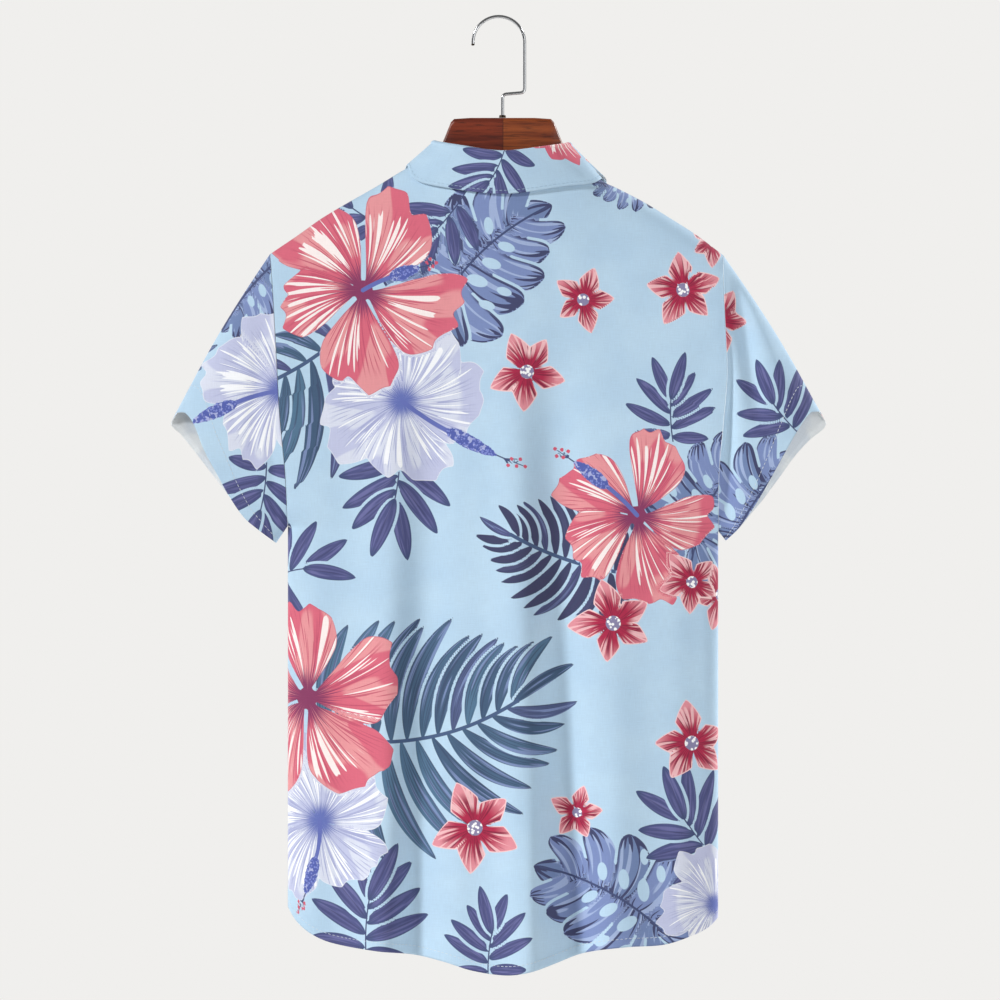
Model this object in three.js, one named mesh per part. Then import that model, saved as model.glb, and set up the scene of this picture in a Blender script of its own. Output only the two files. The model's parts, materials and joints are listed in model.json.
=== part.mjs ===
// Short-sleeved hawaiian shirt hung on a shaped wooden hanger with a wire hook.
// Millimetres, +Z up. The origin is on the inside of the hook's top, where a rail carries it.
// The shirt's back faces -Y, its buttoned front faces +Y and the wearer's right is +X.
import * as THREE from 'three';

// Cloth and seams
const CLOTH = 1.4;
const SEAM_GAP = 0.3;
const LAP_STEP = 1.9;
const FRONT_LAP = 13;

// The wearer's left and right sides. Distances are taken from the middle of the garment.
// shoulder: crest of the cloth over the hanger. edge: armhole seam, then side seam.
const LEFT = {
  sign: -1,
  shoulder: [
    { x: 79, z: -133.8 },
    { x: 95, z: -142.6 },
    { x: 117, z: -156 },
    { x: 143, z: -170.7 },
    { x: 168, z: -185.5 },
    { x: 190, z: -201 },
    { x: 216, z: -218.5 },
  ],
  edge: [
    { z: -472, x: 199.8 },
    { z: -424, x: 202 },
    { z: -371, x: 207 },
    { z: -335, x: 209 },
    { z: -271, x: 212.5 },
    { z: -218.5, x: 216 },
  ],
  cuffTop: { x: 300, z: -364 },
  cuffBottom: { x: 210.4, z: -487.8 },
  cuff: [
    { along: 0, back: 4, front: 4 },
    { along: 0.03, back: -2, front: 14.5 },
    { along: 0.12, back: -2.5, front: 13 },
    { along: 0.28, back: 3.5, front: 11.8 },
    { along: 0.45, back: 7, front: 11 },
    { along: 0.6, back: 9.8, front: 10.3 },
    { along: 0.76, back: 10.2, front: 10.2 },
    { along: 0.88, back: 5.8, front: 5.8 },
    { along: 1, back: 0, front: 0 },
  ],
};
const RIGHT = {
  sign: 1,
  shoulder: [
    { x: 75, z: -138 },
    { x: 96, z: -152.8 },
    { x: 106, z: -157.4 },
    { x: 132, z: -170.9 },
    { x: 156, z: -185.5 },
    { x: 180, z: -200.8 },
    { x: 205, z: -219.5 },
  ],
  edge: [
    { z: -478, x: 200.8 },
    { z: -422, x: 201.3 },
    { z: -379, x: 205 },
    { z: -332, x: 208.7 },
    { z: -301, x: 207.9 },
    { z: -260, x: 206 },
    { z: -219.5, x: 205 },
  ],
  cuffTop: { x: 292, z: -363 },
  cuffBottom: { x: 207.7, z: -485.6 },
  cuff: [
    { along: 0, back: 4, front: 4 },
    { along: 0.04, back: -2.5, front: 16 },
    { along: 0.18, back: -3, front: 11.6 },
    { along: 0.31, back: -1.5, front: 8.8 },
    { along: 0.45, back: 0.5, front: 8.2 },
    { along: 0.66, back: 3.2, front: 7.1 },
    { along: 0.78, back: 3.8, front: 5.2 },
    { along: 0.9, back: 3, front: 3.7 },
    { along: 1, back: 0, front: 0 },
  ],
};

// Hem of the shirt tail, from the wearer's left to the right.
const HEM = [
  { x: -200, z: -826 },
  { x: -192, z: -839 },
  { x: -178, z: -851 },
  { x: -158, z: -859.5 },
  { x: -120, z: -866 },
  { x: -82, z: -870 },
  { x: -54, z: -876.5 },
  { x: -28, z: -884.5 },
  { x: 2, z: -888.6 },
  { x: 24, z: -886 },
  { x: 48, z: -878.5 },
  { x: 77, z: -868 },
  { x: 115, z: -863 },
  { x: 150, z: -861 },
  { x: 176, z: -853 },
  { x: 192, z: -845 },
  { x: 201, z: -836 },
];

// Hollow form: half-depths of the cloth from its middle surface, which bows forward at the sides.
const BOW = 16;
const BOW_AT = 218;
const CHEST_FULL = 24;
const CHEST_LEVEL = -350;
const HEM_FULL = 31;
const HEM_LEVEL = -880;
const CREST_RADIUS = 12;
const SIDE_POWER = 2.6;
const SLEEVE_REACH = 120;
const REACH_RISE = 70;
const NECK_SPREAD = 75;
const NECK_FULL = 16;
const NECK_FADE = 120;
const NECK_RADIUS = 12;

// Neck seam
const NECK_SHARE = 0.366;
const NECK_ARCH = 19;
const BACK_NECK_DROP = 16;
const FRONT_NECK_DROP = 56;
const BACK_NECK_POWER = 2.2;
const FRONT_NECK_POWER = 2.6;

// Long soft folds. Each hangs from its top to the hem and deepens on the way.
// A positive size is a ridge that stands away from the wearer.
const BACK_FOLDS = [
  { topX: -120, hemX: -146, top: -250, size: 5, width: 34 },
  { topX: -70, hemX: -84, top: -330, size: -7, width: 20 },
  { topX: 0, hemX: -22, top: -300, size: 7, width: 32 },
  { topX: 34, hemX: 62, top: -300, size: -11, width: 26 },
  { topX: 110, hemX: 128, top: -260, size: 8, width: 34 },
  { topX: 160, hemX: 182, top: -420, size: -4, width: 16 },
];
const FOLD_GROWTH = 0.8;
const FOLD_START = 0.12;
const FRONT_FOLDS = [
  { topX: -150, hemX: -160, top: -300, size: -5, width: 20 },
  { topX: -96, hemX: -112, top: -260, size: 8, width: 32 },
  { topX: -50, hemX: -62, top: -320, size: -8, width: 22 },
  { topX: 52, hemX: 66, top: -300, size: -7, width: 24 },
  { topX: 104, hemX: 120, top: -270, size: 8, width: 34 },
  { topX: 156, hemX: 170, top: -400, size: -5, width: 18 },
];

// Sleeves
const CUFF_FULL = 17;
const CUFF_POWER = 3;
const SLEEVE_CROWN = 4;
const SLEEVE_RINGS = 7;

// Rows and columns of the panels
const ARMHOLE_SHARE = 0.4175;
const ARMHOLE_ROWS = 14;
const CREST_CROWDING = 1.25;
const SIDE_ROWS = 11;
const SHOULDER_COLUMNS = 8;
const NECK_TURNS = 8;

// Collar. The angle runs round the neck from the middle of the back, and is negative on the left.
// fold is the top of the roll and edge is the free edge of the fall.
const COLLAR = [
  { angle: -172, foldX: -8, foldY: 33, foldZ: -164, edgeX: -44, edgeZ: -236 },
  { angle: -140, foldX: -38, foldY: 28, foldZ: -138, edgeX: -77, edgeZ: -202 },
  { angle: -115, foldX: -56, foldY: 16, foldZ: -120, edgeX: -93, edgeZ: -166 },
  { angle: -90, foldX: -63.6, foldY: 2, foldZ: -113.5, edgeX: -89.5, edgeZ: -136.4 },
  { angle: -70, foldX: -59, foldY: -10, foldZ: -114.5, edgeX: -82.5, edgeZ: -149.5 },
  { angle: -45, foldX: -44, foldY: -20, foldZ: -117.2, edgeX: -60, edgeZ: -156.6 },
  { angle: 0, foldX: 0, foldY: -27.5, foldZ: -123.2, edgeX: 0, edgeZ: -163.7 },
  { angle: 45, foldX: 44, foldY: -20, foldZ: -118.2, edgeX: 60, edgeZ: -156.4 },
  { angle: 70, foldX: 58, foldY: -10, foldZ: -116, edgeX: 84, edgeZ: -153.4 },
  { angle: 90, foldX: 62, foldY: 2, foldZ: -115.2, edgeX: 96, edgeZ: -148.4 },
  { angle: 115, foldX: 55, foldY: 16, foldZ: -121, edgeX: 95, edgeZ: -172 },
  { angle: 140, foldX: 38, foldY: 28, foldZ: -138, edgeX: 78, edgeZ: -204 },
  { angle: 172, foldX: 8, foldY: 33, foldZ: -164, edgeX: 45, edgeZ: -237 },
];
const ROLL_RADIUS = 3.2;
const ROLL_STRIDE = 2;
const ROLL_STEPS = 4;
const FALL_STEPS = 5;
const STAND_STEPS = 2;
const FALL_CLEAR = 2.7;
const BAND_END = 0.8;

// Buttons on the front's lap
const BUTTON_RADIUS = 5.6;
const BUTTON_HEIGHT = 2.4;
const BUTTON_RIM = 0.6;
const BUTTON_DISH = 0.62;
const BUTTON_LIFT = 0.7;
const ROUND_SIDES = 14;
const BUTTON_HEIGHTS = [-222, -310, -398, -486, -574, -662];

// Wooden hanger: top and underside of one arm, and its half thickness.
const WOOD_TOP = -92.5;
const WOOD_UNDER_CLOTH = 2.4;
const WOOD_LEFT_END = 212;
const WOOD_RIGHT_END = 201;
const WOOD_SHOULDER = 80;
const WOOD_TIP_LENGTH = 12;
const WOOD_TIP_ROUND = 9;
const WOOD_CORNER = 4.6;
const WOOD_FLAT = 0.9;
const WOOD_NECK = [
  { x: 0, z: WOOD_TOP },
  { x: 30, z: WOOD_TOP },
  { x: 45, z: WOOD_TOP - 1 },
  { x: 48, z: WOOD_TOP - 4 },
  { x: 55.5, z: WOOD_TOP - 22.5 },
  { x: 62, z: WOOD_TOP - 38 },
  { x: 69, z: WOOD_TOP - 47 },
];
const WOOD_SECTIONS = [
  { x: 0, under: -150, half: 7 },
  { x: 30, under: -151, half: 7 },
  { x: 45, under: -154, half: 7 },
  { x: 48, under: -155, half: 6.9 },
  { x: 55.5, under: -158, half: 6.7 },
  { x: 62, under: -162, half: 6.5 },
  { x: 69, under: -166, half: 6.2 },
  { x: 80, under: -173, half: 6 },
  { x: 100, under: -184, half: 5.7 },
  { x: 125, under: -197, half: 5.5 },
  { x: 150, under: -210, half: 5.5 },
  { x: 175, under: -224, half: 5.5 },
  { x: 193, under: -235, half: 5.4 },
  { x: 201, under: -240, half: 5.2 },
  { x: 208, under: -243, half: 4.8 },
  { x: 212, under: -243, half: 4.2 },
];

// Wire hook
const WIRE = 1.55;
const HOOK_RADIUS = 24;
const HOOK_SHIFT = 3.5;
const HOOK_TIP_ANGLE = 187;
const HOOK_LEG_BOTTOM = -65.2;
const HOOK_STEP_SLOPE = 5;
const HOOK_BEND = 4;
const HOOK_ARC_POINTS = 24;
const HOOK_BEND_POINTS = 4;
const HOOK_STEPS = 66;
const WIRE_SIDES = 7;
const FERRULE_RADIUS = 3.3;
const FERRULE_HEIGHT = 2.4;
const FERRULE_TAPER = 0.5;

const MATERIALS = {
  cloth: { color: 0xb9d5e8, roughness: 0.72, metalness: 0 },
  collar: { color: 0xb4d0e5, roughness: 0.72, metalness: 0 },
  button: { color: 0xe9eef2, roughness: 0.35, metalness: 0 },
  wood: { color: 0x7c3418, roughness: 0.32, metalness: 0 },
  chrome: { color: 0xc9cbce, roughness: 0.16, metalness: 1 },
  ferrule: { color: 0x4a4038, roughness: 0.4, metalness: 1 },
};

const UP = new THREE.Vector3(0, 0, 1);

// Reads a column of a table at a place between its rows, on a smooth curve through them.
function valueAt(table, key, column, place) {
  const last = table.length - 1;
  const at = THREE.MathUtils.clamp(place, table[0][key], table[last][key]);
  const found = table.findIndex((row) => row[key] > at);
  const i = (found < 0 ? last : found) - 1;
  const slope = (k) => {
    const before = table[Math.max(k - 1, 0)];
    const after = table[Math.min(k + 1, last)];
    return (after[column] - before[column]) / (after[key] - before[key]);
  };
  const start = table[i];
  const stop = table[i + 1];
  const span = stop[key] - start[key];
  const t = (at - start[key]) / span;
  const rise = t * t * (3 - 2 * t);
  const lead = t * (1 - t) * (1 - t) * span;
  const trail = t * t * (t - 1) * span;
  const level = start[column] + (stop[column] - start[column]) * rise;
  return level + slope(i) * lead + slope(i + 1) * trail;
}

// Eases from 0 to 1 while the value goes from one bound to the other, in either direction.
function smoothStep(from, to, value) {
  const t = THREE.MathUtils.clamp((value - from) / (to - from), 0, 1);
  return t * t * (3 - 2 * t);
}

function sideOf(x) {
  return x < 0 ? LEFT : RIGHT;
}

// Level of the neck point on one side, which evens out towards the middle of the neck.
function neckLevel(side, share) {
  const even = (LEFT.shoulder[0].z + RIGHT.shoulder[0].z) / 2;
  return even + (side.shoulder[0].z - even) * share;
}

// Height of the cloth's crest over the hanger. Between the neck points it arches over the opening.
function crestHeight(x) {
  const side = sideOf(x);
  const away = Math.abs(x);
  const share = away / side.shoulder[0].x;
  if (share > 1) {
    return valueAt(side.shoulder, 'x', 'z', away);
  }
  return neckLevel(side, share) + NECK_ARCH * (1 - share ** 2);
}

// Distance from the middle to the armhole or side seam at a height.
function edgeReach(side, z) {
  return valueAt(side.edge, 'z', 'x', z);
}

// Middle surface between front and back.
function middle(x) {
  return BOW * (x / BOW_AT) ** 2;
}

// Half-width of the flattened tube that the cloth follows, which opens into the sleeve above the underarm.
function tubeReach(side, z) {
  const underarm = side.edge[0].z;
  const above = Math.max(0, z - underarm);
  return edgeReach(side, z) + SLEEVE_REACH * (1 - Math.exp(-above / REACH_RISE));
}

// Distance of the cloth from the middle surface: a rounded crest, rounded sides and the folds.
function halfDepth(x, z, folds) {
  const below = Math.max(0, crestHeight(x) - z);
  const atNeck = Math.exp(-((x / NECK_SPREAD) ** 2));
  const chest = CHEST_FULL + (HEM_FULL - CHEST_FULL) * smoothStep(CHEST_LEVEL, HEM_LEVEL, z);
  const full = chest + NECK_FULL * atNeck * Math.exp(-below / NECK_FADE);
  const radius = CREST_RADIUS + NECK_RADIUS * atNeck;
  const crest = 1 - Math.exp(-Math.sqrt(2 * radius * below) / full);
  const across = Math.min(1, Math.abs(x) / tubeReach(sideOf(x), z));
  const side = Math.sqrt(1 - across ** SIDE_POWER);
  const waves = folds.reduce((sum, fold) => {
    const hang = THREE.MathUtils.clamp((fold.top - z) / (fold.top - HEM_LEVEL), 0, 1);
    const centre = fold.topX + (fold.hemX - fold.topX) * hang;
    const grow = hang ** FOLD_GROWTH * smoothStep(0, FOLD_START, hang);
    return sum + fold.size * grow * Math.exp(-(((x - centre) / fold.width) ** 2));
  }, 0);
  return (full * crest + waves * crest) * side;
}
// Height of a panel's top edge: the neck seam between the neck points, and the crest outside them.
function topHeight(share, drop, power) {
  const side = sideOf(share);
  const x = share * side.shoulder[side.shoulder.length - 1].x;
  const inside = Math.min(1, Math.abs(share) / NECK_SHARE);
  if (inside === 1) {
    return crestHeight(x);
  }
  return neckLevel(side, inside) - drop * (1 - inside ** power);
}

// Shares of the way from top edge to hem for the panel's rows, close together at both armhole ends.
function rowShares() {
  const shares = [];
  for (let j = 0; j <= ARMHOLE_ROWS; j += 1) {
    const turn = (1 - Math.cos((Math.PI * j) / ARMHOLE_ROWS)) / 2;
    shares.push(ARMHOLE_SHARE * turn ** CREST_CROWDING);
  }
  for (let j = 1; j <= SIDE_ROWS; j += 1) {
    shares.push(ARMHOLE_SHARE + ((1 - ARMHOLE_SHARE) * j) / SIDE_ROWS);
  }
  return shares;
}

// Shares of the half-width for the columns of a shoulder, closest together at the seam.
function shoulderShares() {
  const shares = [];
  for (let i = 1; i <= SHOULDER_COLUMNS; i += 1) {
    const turn = Math.sin((Math.PI * i) / (2 * SHOULDER_COLUMNS));
    shares.push(NECK_SHARE + (1 - NECK_SHARE) * turn);
  }
  return shares;
}

// Outside point of a panel. The face is -1 on the back and 1 on the front.
function panelPoint(panel, share, rowShare) {
  const side = sideOf(share);
  const shoulder = side.shoulder[side.shoulder.length - 1];
  const corner = valueAt(HEM, 'x', 'z', side.sign * side.edge[0].x);
  const edgeZ = shoulder.z + (corner - shoulder.z) * rowShare;
  const x = share * edgeReach(side, edgeZ);
  const top = topHeight(share, panel.neckDrop, panel.neckPower);
  const hemX = share * edgeReach(side, corner);
  const z = top + (valueAt(HEM, 'x', 'z', hemX) - top) * rowShare;
  const out = halfDepth(x, z, panel.folds) + SEAM_GAP / 2 + panel.lift(x);
  return new THREE.Vector3(x, middle(x) + panel.face * out, z);
}

const BACK_PANEL = {
  face: -1,
  folds: BACK_FOLDS,
  neckDrop: BACK_NECK_DROP,
  neckPower: BACK_NECK_POWER,
  lift: () => 0,
};
const FRONT_PANEL = {
  face: 1,
  folds: FRONT_FOLDS,
  neckDrop: FRONT_NECK_DROP,
  neckPower: FRONT_NECK_POWER,
  lift: () => 0,
};
const LAPPED_PANEL = {
  ...FRONT_PANEL,
  lift: (x) => LAP_STEP * smoothStep(-FRONT_LAP * 3, -FRONT_LAP - 2, x),
};

// Normals of a grid of points by differences along its rows and columns.
function gridNormals(grid, outward, closed) {
  const rows = grid.length;
  const columns = grid[0].length;
  return grid.map((row, j) => row.map((point, i) => {
    const before = closed ? (i + columns - 1) % columns : Math.max(i - 1, 0);
    const after = closed ? (i + 1) % columns : Math.min(i + 1, columns - 1);
    const along = row[after].clone().sub(row[before]);
    const down = grid[Math.min(j + 1, rows - 1)][i].clone().sub(grid[Math.max(j - 1, 0)][i]);
    return along.cross(down).normalize().multiplyScalar(outward);
  }));
}

// Closed wall between an outside grid and an inside grid of points.
function wallGeometry(outside, inside, closed) {
  const rows = outside.length;
  const columns = outside[0].length;
  const positions = [];
  [outside, inside].forEach((grid) => grid.forEach((row) => row.forEach((point) => {
    positions.push(point.x, point.y, point.z);
  })));
  const layer = rows * columns;
  const at = (face, j, i) => face * layer + j * columns + (i % columns);
  const index = [];
  const quad = (a, b, c, d) => index.push(a, b, c, a, c, d);
  const spans = closed ? columns : columns - 1;
  for (let j = 0; j + 1 < rows; j += 1) {
    for (let i = 0; i < spans; i += 1) {
      quad(at(0, j, i), at(0, j + 1, i), at(0, j + 1, i + 1), at(0, j, i + 1));
      quad(at(1, j, i), at(1, j, i + 1), at(1, j + 1, i + 1), at(1, j + 1, i));
    }
  }
  for (let i = 0; i < spans; i += 1) {
    quad(at(0, 0, i), at(0, 0, i + 1), at(1, 0, i + 1), at(1, 0, i));
    quad(at(0, rows - 1, i), at(1, rows - 1, i), at(1, rows - 1, i + 1), at(0, rows - 1, i + 1));
  }
  if (!closed) {
    for (let j = 0; j + 1 < rows; j += 1) {
      quad(at(0, j, 0), at(1, j, 0), at(1, j + 1, 0), at(0, j + 1, 0));
      const end = columns - 1;
      quad(at(0, j, end), at(0, j + 1, end), at(1, j + 1, end), at(1, j, end));
    }
  }
  return facingOut(positions, index);
}

// Turns every triangle over when the volume they enclose comes out negative.
function facingOut(positions, index) {
  const corner = (k) => new THREE.Vector3().fromArray(positions, 3 * index[k]);
  let volume = 0;
  for (let k = 0; k < index.length; k += 3) {
    volume += corner(k).dot(corner(k + 1).cross(corner(k + 2)));
  }
  if (volume < 0) {
    for (let k = 0; k < index.length; k += 3) {
      [index[k + 1], index[k + 2]] = [index[k + 2], index[k + 1]];
    }
  }
  const geometry = new THREE.BufferGeometry();
  geometry.setAttribute('position', new THREE.Float32BufferAttribute(positions, 3));
  geometry.setIndex(index);
  geometry.computeVertexNormals();
  return geometry;
}

// Moves a grid of points inward along its normals by the cloth's thickness.
function insideOf(grid, normals) {
  return grid.map((row, j) => row.map((point, i) => (
    point.clone().addScaledVector(normals[j][i], -CLOTH)
  )));
}

// Wall of one body panel. At a seam the wall's edge is square to the seam, so neighbours keep their gap.
function panelGeometry(panel, shares) {
  const rows = rowShares();
  const grid = rows.map((rowShare) => shares.map((share) => panelPoint(panel, share, rowShare)));
  const run = Math.sign(shares[shares.length - 1] - shares[0]);
  const normals = gridNormals(grid, panel.face * run, false);
  shares.forEach((share, i) => {
    if (Math.abs(share) >= NECK_SHARE) {
      normals[0][i].setY(0).normalize();
    }
    if (Math.abs(share) === 1) {
      normals.forEach((row, j) => {
        if (j > 0 && j < ARMHOLE_ROWS) {
          row[i].setX(0).normalize();
        } else {
          row[i].setY(0).normalize();
        }
      });
      normals[0][i].copy(UP);
      normals[ARMHOLE_ROWS][i].set(Math.sign(share), 0, -1).normalize();
    }
  });
  return wallGeometry(grid, insideOf(grid, normals), false);
}

// Shares of the half-width for the neck's columns from the middle to one neck point, at even turns.
function neckShares() {
  const shares = [];
  for (let i = 0; i <= NECK_TURNS; i += 1) {
    shares.push(NECK_SHARE * Math.sin((Math.PI * i) / (2 * NECK_TURNS)));
  }
  return shares;
}

function backShares() {
  const half = [...neckShares(), ...shoulderShares()];
  return [...half.slice(1).map((share) => -share).reverse(), ...half];
}

// Columns of one front, from its side seam to past the middle.
function frontShares(sign) {
  const half = [...neckShares(), ...shoulderShares()].reverse();
  const lap = -FRONT_LAP / sideOf(sign).edge[0].x;
  return [...half, lap].map((share) => sign * share);
}

// Armhole ring: down the back panel's edge from the shoulder and up the front panel's edge.
function armholeRing(side) {
  const shares = rowShares().slice(0, ARMHOLE_ROWS + 1);
  const back = shares.map((rowShare) => panelPoint(BACK_PANEL, side.sign, rowShare));
  const front = shares.map((rowShare) => panelPoint(FRONT_PANEL, side.sign, rowShare));
  return [...back, ...front.reverse()];
}

// Cuff ring, point for point with the armhole ring.
function cuffPoint(side, along, face) {
  const { cuffTop, cuffBottom } = side;
  const run = new THREE.Vector2(cuffBottom.x - cuffTop.x, cuffBottom.z - cuffTop.z);
  const length = run.length();
  const out = valueAt(side.cuff, 'along', face < 0 ? 'back' : 'front', along);
  const x = cuffTop.x + run.x * along - (run.y / length) * out;
  const z = cuffTop.z + run.y * along + (run.x / length) * out;
  const round = Math.sqrt(Math.max(0, 1 - Math.abs(2 * along - 1) ** CUFF_POWER));
  const signedX = side.sign * x;
  const y = middle(signedX) + face * (CUFF_FULL * round + SEAM_GAP / 2);
  return new THREE.Vector3(signedX, y, z);
}

function sleeveGeometry(side) {
  const armhole = armholeRing(side);
  const shares = rowShares().slice(0, ARMHOLE_ROWS + 1);
  const alongs = [...shares, ...shares.slice().reverse()].map((share) => share / ARMHOLE_SHARE);
  const grid = [];
  for (let k = 0; k <= SLEEVE_RINGS; k += 1) {
    const way = k / SLEEVE_RINGS;
    grid.push(armhole.map((seam, i) => {
      const face = i <= ARMHOLE_ROWS ? -1 : 1;
      const cuff = cuffPoint(side, alongs[i], face);
      const point = seam.clone().lerp(cuff, way);
      const crown = SLEEVE_CROWN * Math.sin(Math.PI * way) * (1 - alongs[i]);
      point.x += side.sign * (SEAM_GAP + crown);
      return point;
    }));
  }
  const normals = gridNormals(grid, -side.sign, true);
  normals[0].forEach((normal) => normal.setX(0).normalize());
  normals[0][0].copy(UP);
  normals[0][normals[0].length - 1].copy(UP);
  normals[0][ARMHOLE_ROWS].copy(UP).negate();
  normals[0][ARMHOLE_ROWS + 1].copy(UP).negate();
  return wallGeometry(grid, insideOf(grid, normals), true);
}

// Neck seam round the opening, from the left front's end by the back to the right front's end.
function neckRing() {
  const turn = 90 / NECK_TURNS;
  const shares = neckShares();
  const corner = (sign) => {
    const point = panelPoint(BACK_PANEL, sign * NECK_SHARE, 0);
    return { angle: sign * 90, point: point.setY(middle(point.x)) };
  };
  const onBack = (sign, i) => (
    { angle: sign * i * turn, point: panelPoint(BACK_PANEL, sign * shares[i], 0) }
  );
  const onFront = (sign, i, panel) => {
    const share = Math.max(shares[i], BAND_END / BOW_AT);
    const angle = Math.min(180 - i * turn, COLLAR[COLLAR.length - 1].angle);
    return { angle: sign * angle, point: panelPoint(panel, sign * share, 0) };
  };
  const turns = shares.slice(1, -1).map((_, i) => i + 1);
  return [
    onFront(-1, 0, LAPPED_PANEL),
    ...turns.map((i) => onFront(-1, i, LAPPED_PANEL)),
    corner(-1),
    ...turns.slice().reverse().map((i) => onBack(-1, i)),
    onBack(1, 0),
    ...turns.map((i) => onBack(1, i)),
    corner(1),
    ...turns.slice().reverse().map((i) => onFront(1, i, FRONT_PANEL)),
    onFront(1, 0, FRONT_PANEL),
  ];
}

// Top of the collar's roll at an angle, and the level direction that points away from the neck there.
function rollAt(angle) {
  const read = (column, at) => valueAt(COLLAR, 'angle', column, at);
  const top = new THREE.Vector3(read('foldX', angle), read('foldY', angle), read('foldZ', angle));
  const [from, to] = [angle - ROLL_STRIDE, angle + ROLL_STRIDE];
  const runX = read('foldX', to) - read('foldX', from);
  const runY = read('foldY', to) - read('foldY', from);
  const run = new THREE.Vector3(runX, runY, 0);
  return { top, out: run.cross(UP).normalize() };
}

// Stand of the collar, from the neck seam up to the roll.
function standGeometry() {
  const ring = neckRing();
  const outside = [];
  const inside = [];
  for (let k = 0; k <= STAND_STEPS; k += 1) {
    const way = k / STAND_STEPS;
    const outer = ring.map(({ angle, point }) => {
      const { top, out } = rollAt(angle);
      const upper = top.clone().addScaledVector(out, CLOTH - ROLL_RADIUS);
      upper.z -= ROLL_RADIUS + 3 * SEAM_GAP;
      return point.clone().addScaledVector(UP, SEAM_GAP).lerp(upper, way);
    });
    outside.push(outer);
    inside.push(outer.map((point, i) => (
      point.clone().addScaledVector(rollAt(ring[i].angle).out, -CLOTH)
    )));
  }
  return wallGeometry(outside, inside, false);
}

// Free edge of the fall, laid on the body's cloth.
function fallEdge(angle) {
  const x = valueAt(COLLAR, 'angle', 'edgeX', angle);
  const z = valueAt(COLLAR, 'angle', 'edgeZ', angle);
  return new THREE.Vector3(x, clearOfBody(x, z, angle), z);
}

// Face of the body that an angle round the neck lies on, and 0 over the shoulder between them.
function faceAt(angle) {
  return Math.sign(Math.round(Math.abs(angle) - 90));
}

// Depth at which the fall clears the panel under it.
function clearOfBody(x, z, angle) {
  const face = faceAt(angle);
  const folds = face < 0 ? BACK_FOLDS : FRONT_FOLDS;
  const lap = face > 0 && x < FRONT_LAP ? LAP_STEP : 0;
  const below = crestHeight(x) + FALL_CLEAR - z;
  const away = (FALL_CLEAR + lap) * smoothStep(0, 2 * FALL_CLEAR, below);
  return middle(x) + face * (halfDepth(x, z - FALL_CLEAR, folds) + away);
}

function fallGeometry() {
  const ring = neckRing();
  const grid = ring.map(({ angle }) => {
    const { top, out } = rollAt(angle);
    const centre = top.clone().addScaledVector(UP, -ROLL_RADIUS);
    const points = [centre.clone().addScaledVector(out, -ROLL_RADIUS).addScaledVector(UP, -SEAM_GAP)];
    for (let k = 0; k <= ROLL_STEPS; k += 1) {
      const roll = Math.PI * (1 - k / ROLL_STEPS);
      const point = centre.clone().addScaledVector(out, ROLL_RADIUS * Math.cos(roll));
      points.push(point.addScaledVector(UP, ROLL_RADIUS * Math.sin(roll)));
    }
    const start = points[points.length - 1];
    const edge = fallEdge(angle);
    for (let k = 1; k <= FALL_STEPS; k += 1) {
      const point = start.clone().lerp(edge, k / FALL_STEPS);
      const face = faceAt(angle);
      const clear = clearOfBody(point.x, point.z, angle);
      point.y = face < 0 ? Math.min(point.y, clear) : Math.max(point.y, clear * face);
      points.push(point);
    }
    return points;
  });
  const rows = grid[0].map((_, k) => grid.map((points) => points[k]));
  const normals = gridNormals(rows, 1, false);
  const middleColumn = Math.floor(ring.length / 2);
  const outward = normals[rows.length - 1][middleColumn].y < 0 ? 1 : -1;
  normals.forEach((row) => row.forEach((normal) => normal.multiplyScalar(outward)));
  normals[0] = ring.map(({ angle }) => rollAt(angle).out.negate());
  return wallGeometry(rows, insideOf(rows, normals), false);
}

// Half outline of a button, on its axis: a flat back and a raised rim.
function buttonGeometry() {
  const dish = BUTTON_RADIUS * BUTTON_DISH;
  const outline = [
    [0, 0],
    [BUTTON_RADIUS - BUTTON_RIM, 0],
    [BUTTON_RADIUS, BUTTON_RIM],
    [BUTTON_RADIUS, BUTTON_HEIGHT - BUTTON_RIM],
    [BUTTON_RADIUS - BUTTON_RIM, BUTTON_HEIGHT],
    [dish + BUTTON_RIM, BUTTON_HEIGHT],
    [dish, BUTTON_HEIGHT - BUTTON_RIM],
    [0, BUTTON_HEIGHT - BUTTON_RIM],
  ].map(([radius, height]) => new THREE.Vector2(radius, height));
  return new THREE.LatheGeometry(outline, ROUND_SIDES);
}

// Place of a button on the lapped front, with its back just clear of the cloth.
function seatButton(button, height) {
  const out = halfDepth(0, height, FRONT_FOLDS) + SEAM_GAP / 2 + LAP_STEP + BUTTON_LIFT;
  button.position.set(0, middle(0) + out, height);
}

// Section of the hanger: a rectangle with rounded corners, in a plane across the arm.
function woodRing(x, top, under, half) {
  const corner = Math.min(WOOD_CORNER, half - WOOD_FLAT);
  const centres = [
    { y: half - corner, z: top - corner, turn: 0 },
    { y: -half + corner, z: top - corner, turn: 1 },
    { y: -half + corner, z: under + corner, turn: 2 },
    { y: half - corner, z: under + corner, turn: 3 },
  ];
  const steps = [0, 0.5, 1];
  return centres.flatMap(({ y, z, turn }) => steps.map((step) => {
    const angle = ((turn + step) * Math.PI) / 2;
    const across = y + corner * Math.cos(angle);
    return new THREE.Vector3(x, middle(x) + across, z + corner * Math.sin(angle));
  }));
}

function woodTop(x) {
  const away = Math.abs(x);
  const neckEnd = WOOD_NECK[WOOD_NECK.length - 1];
  if (away <= neckEnd.x) {
    return valueAt(WOOD_NECK, 'x', 'z', away);
  }
  return crestHeight(x) - WOOD_UNDER_CLOTH;
}

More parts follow.
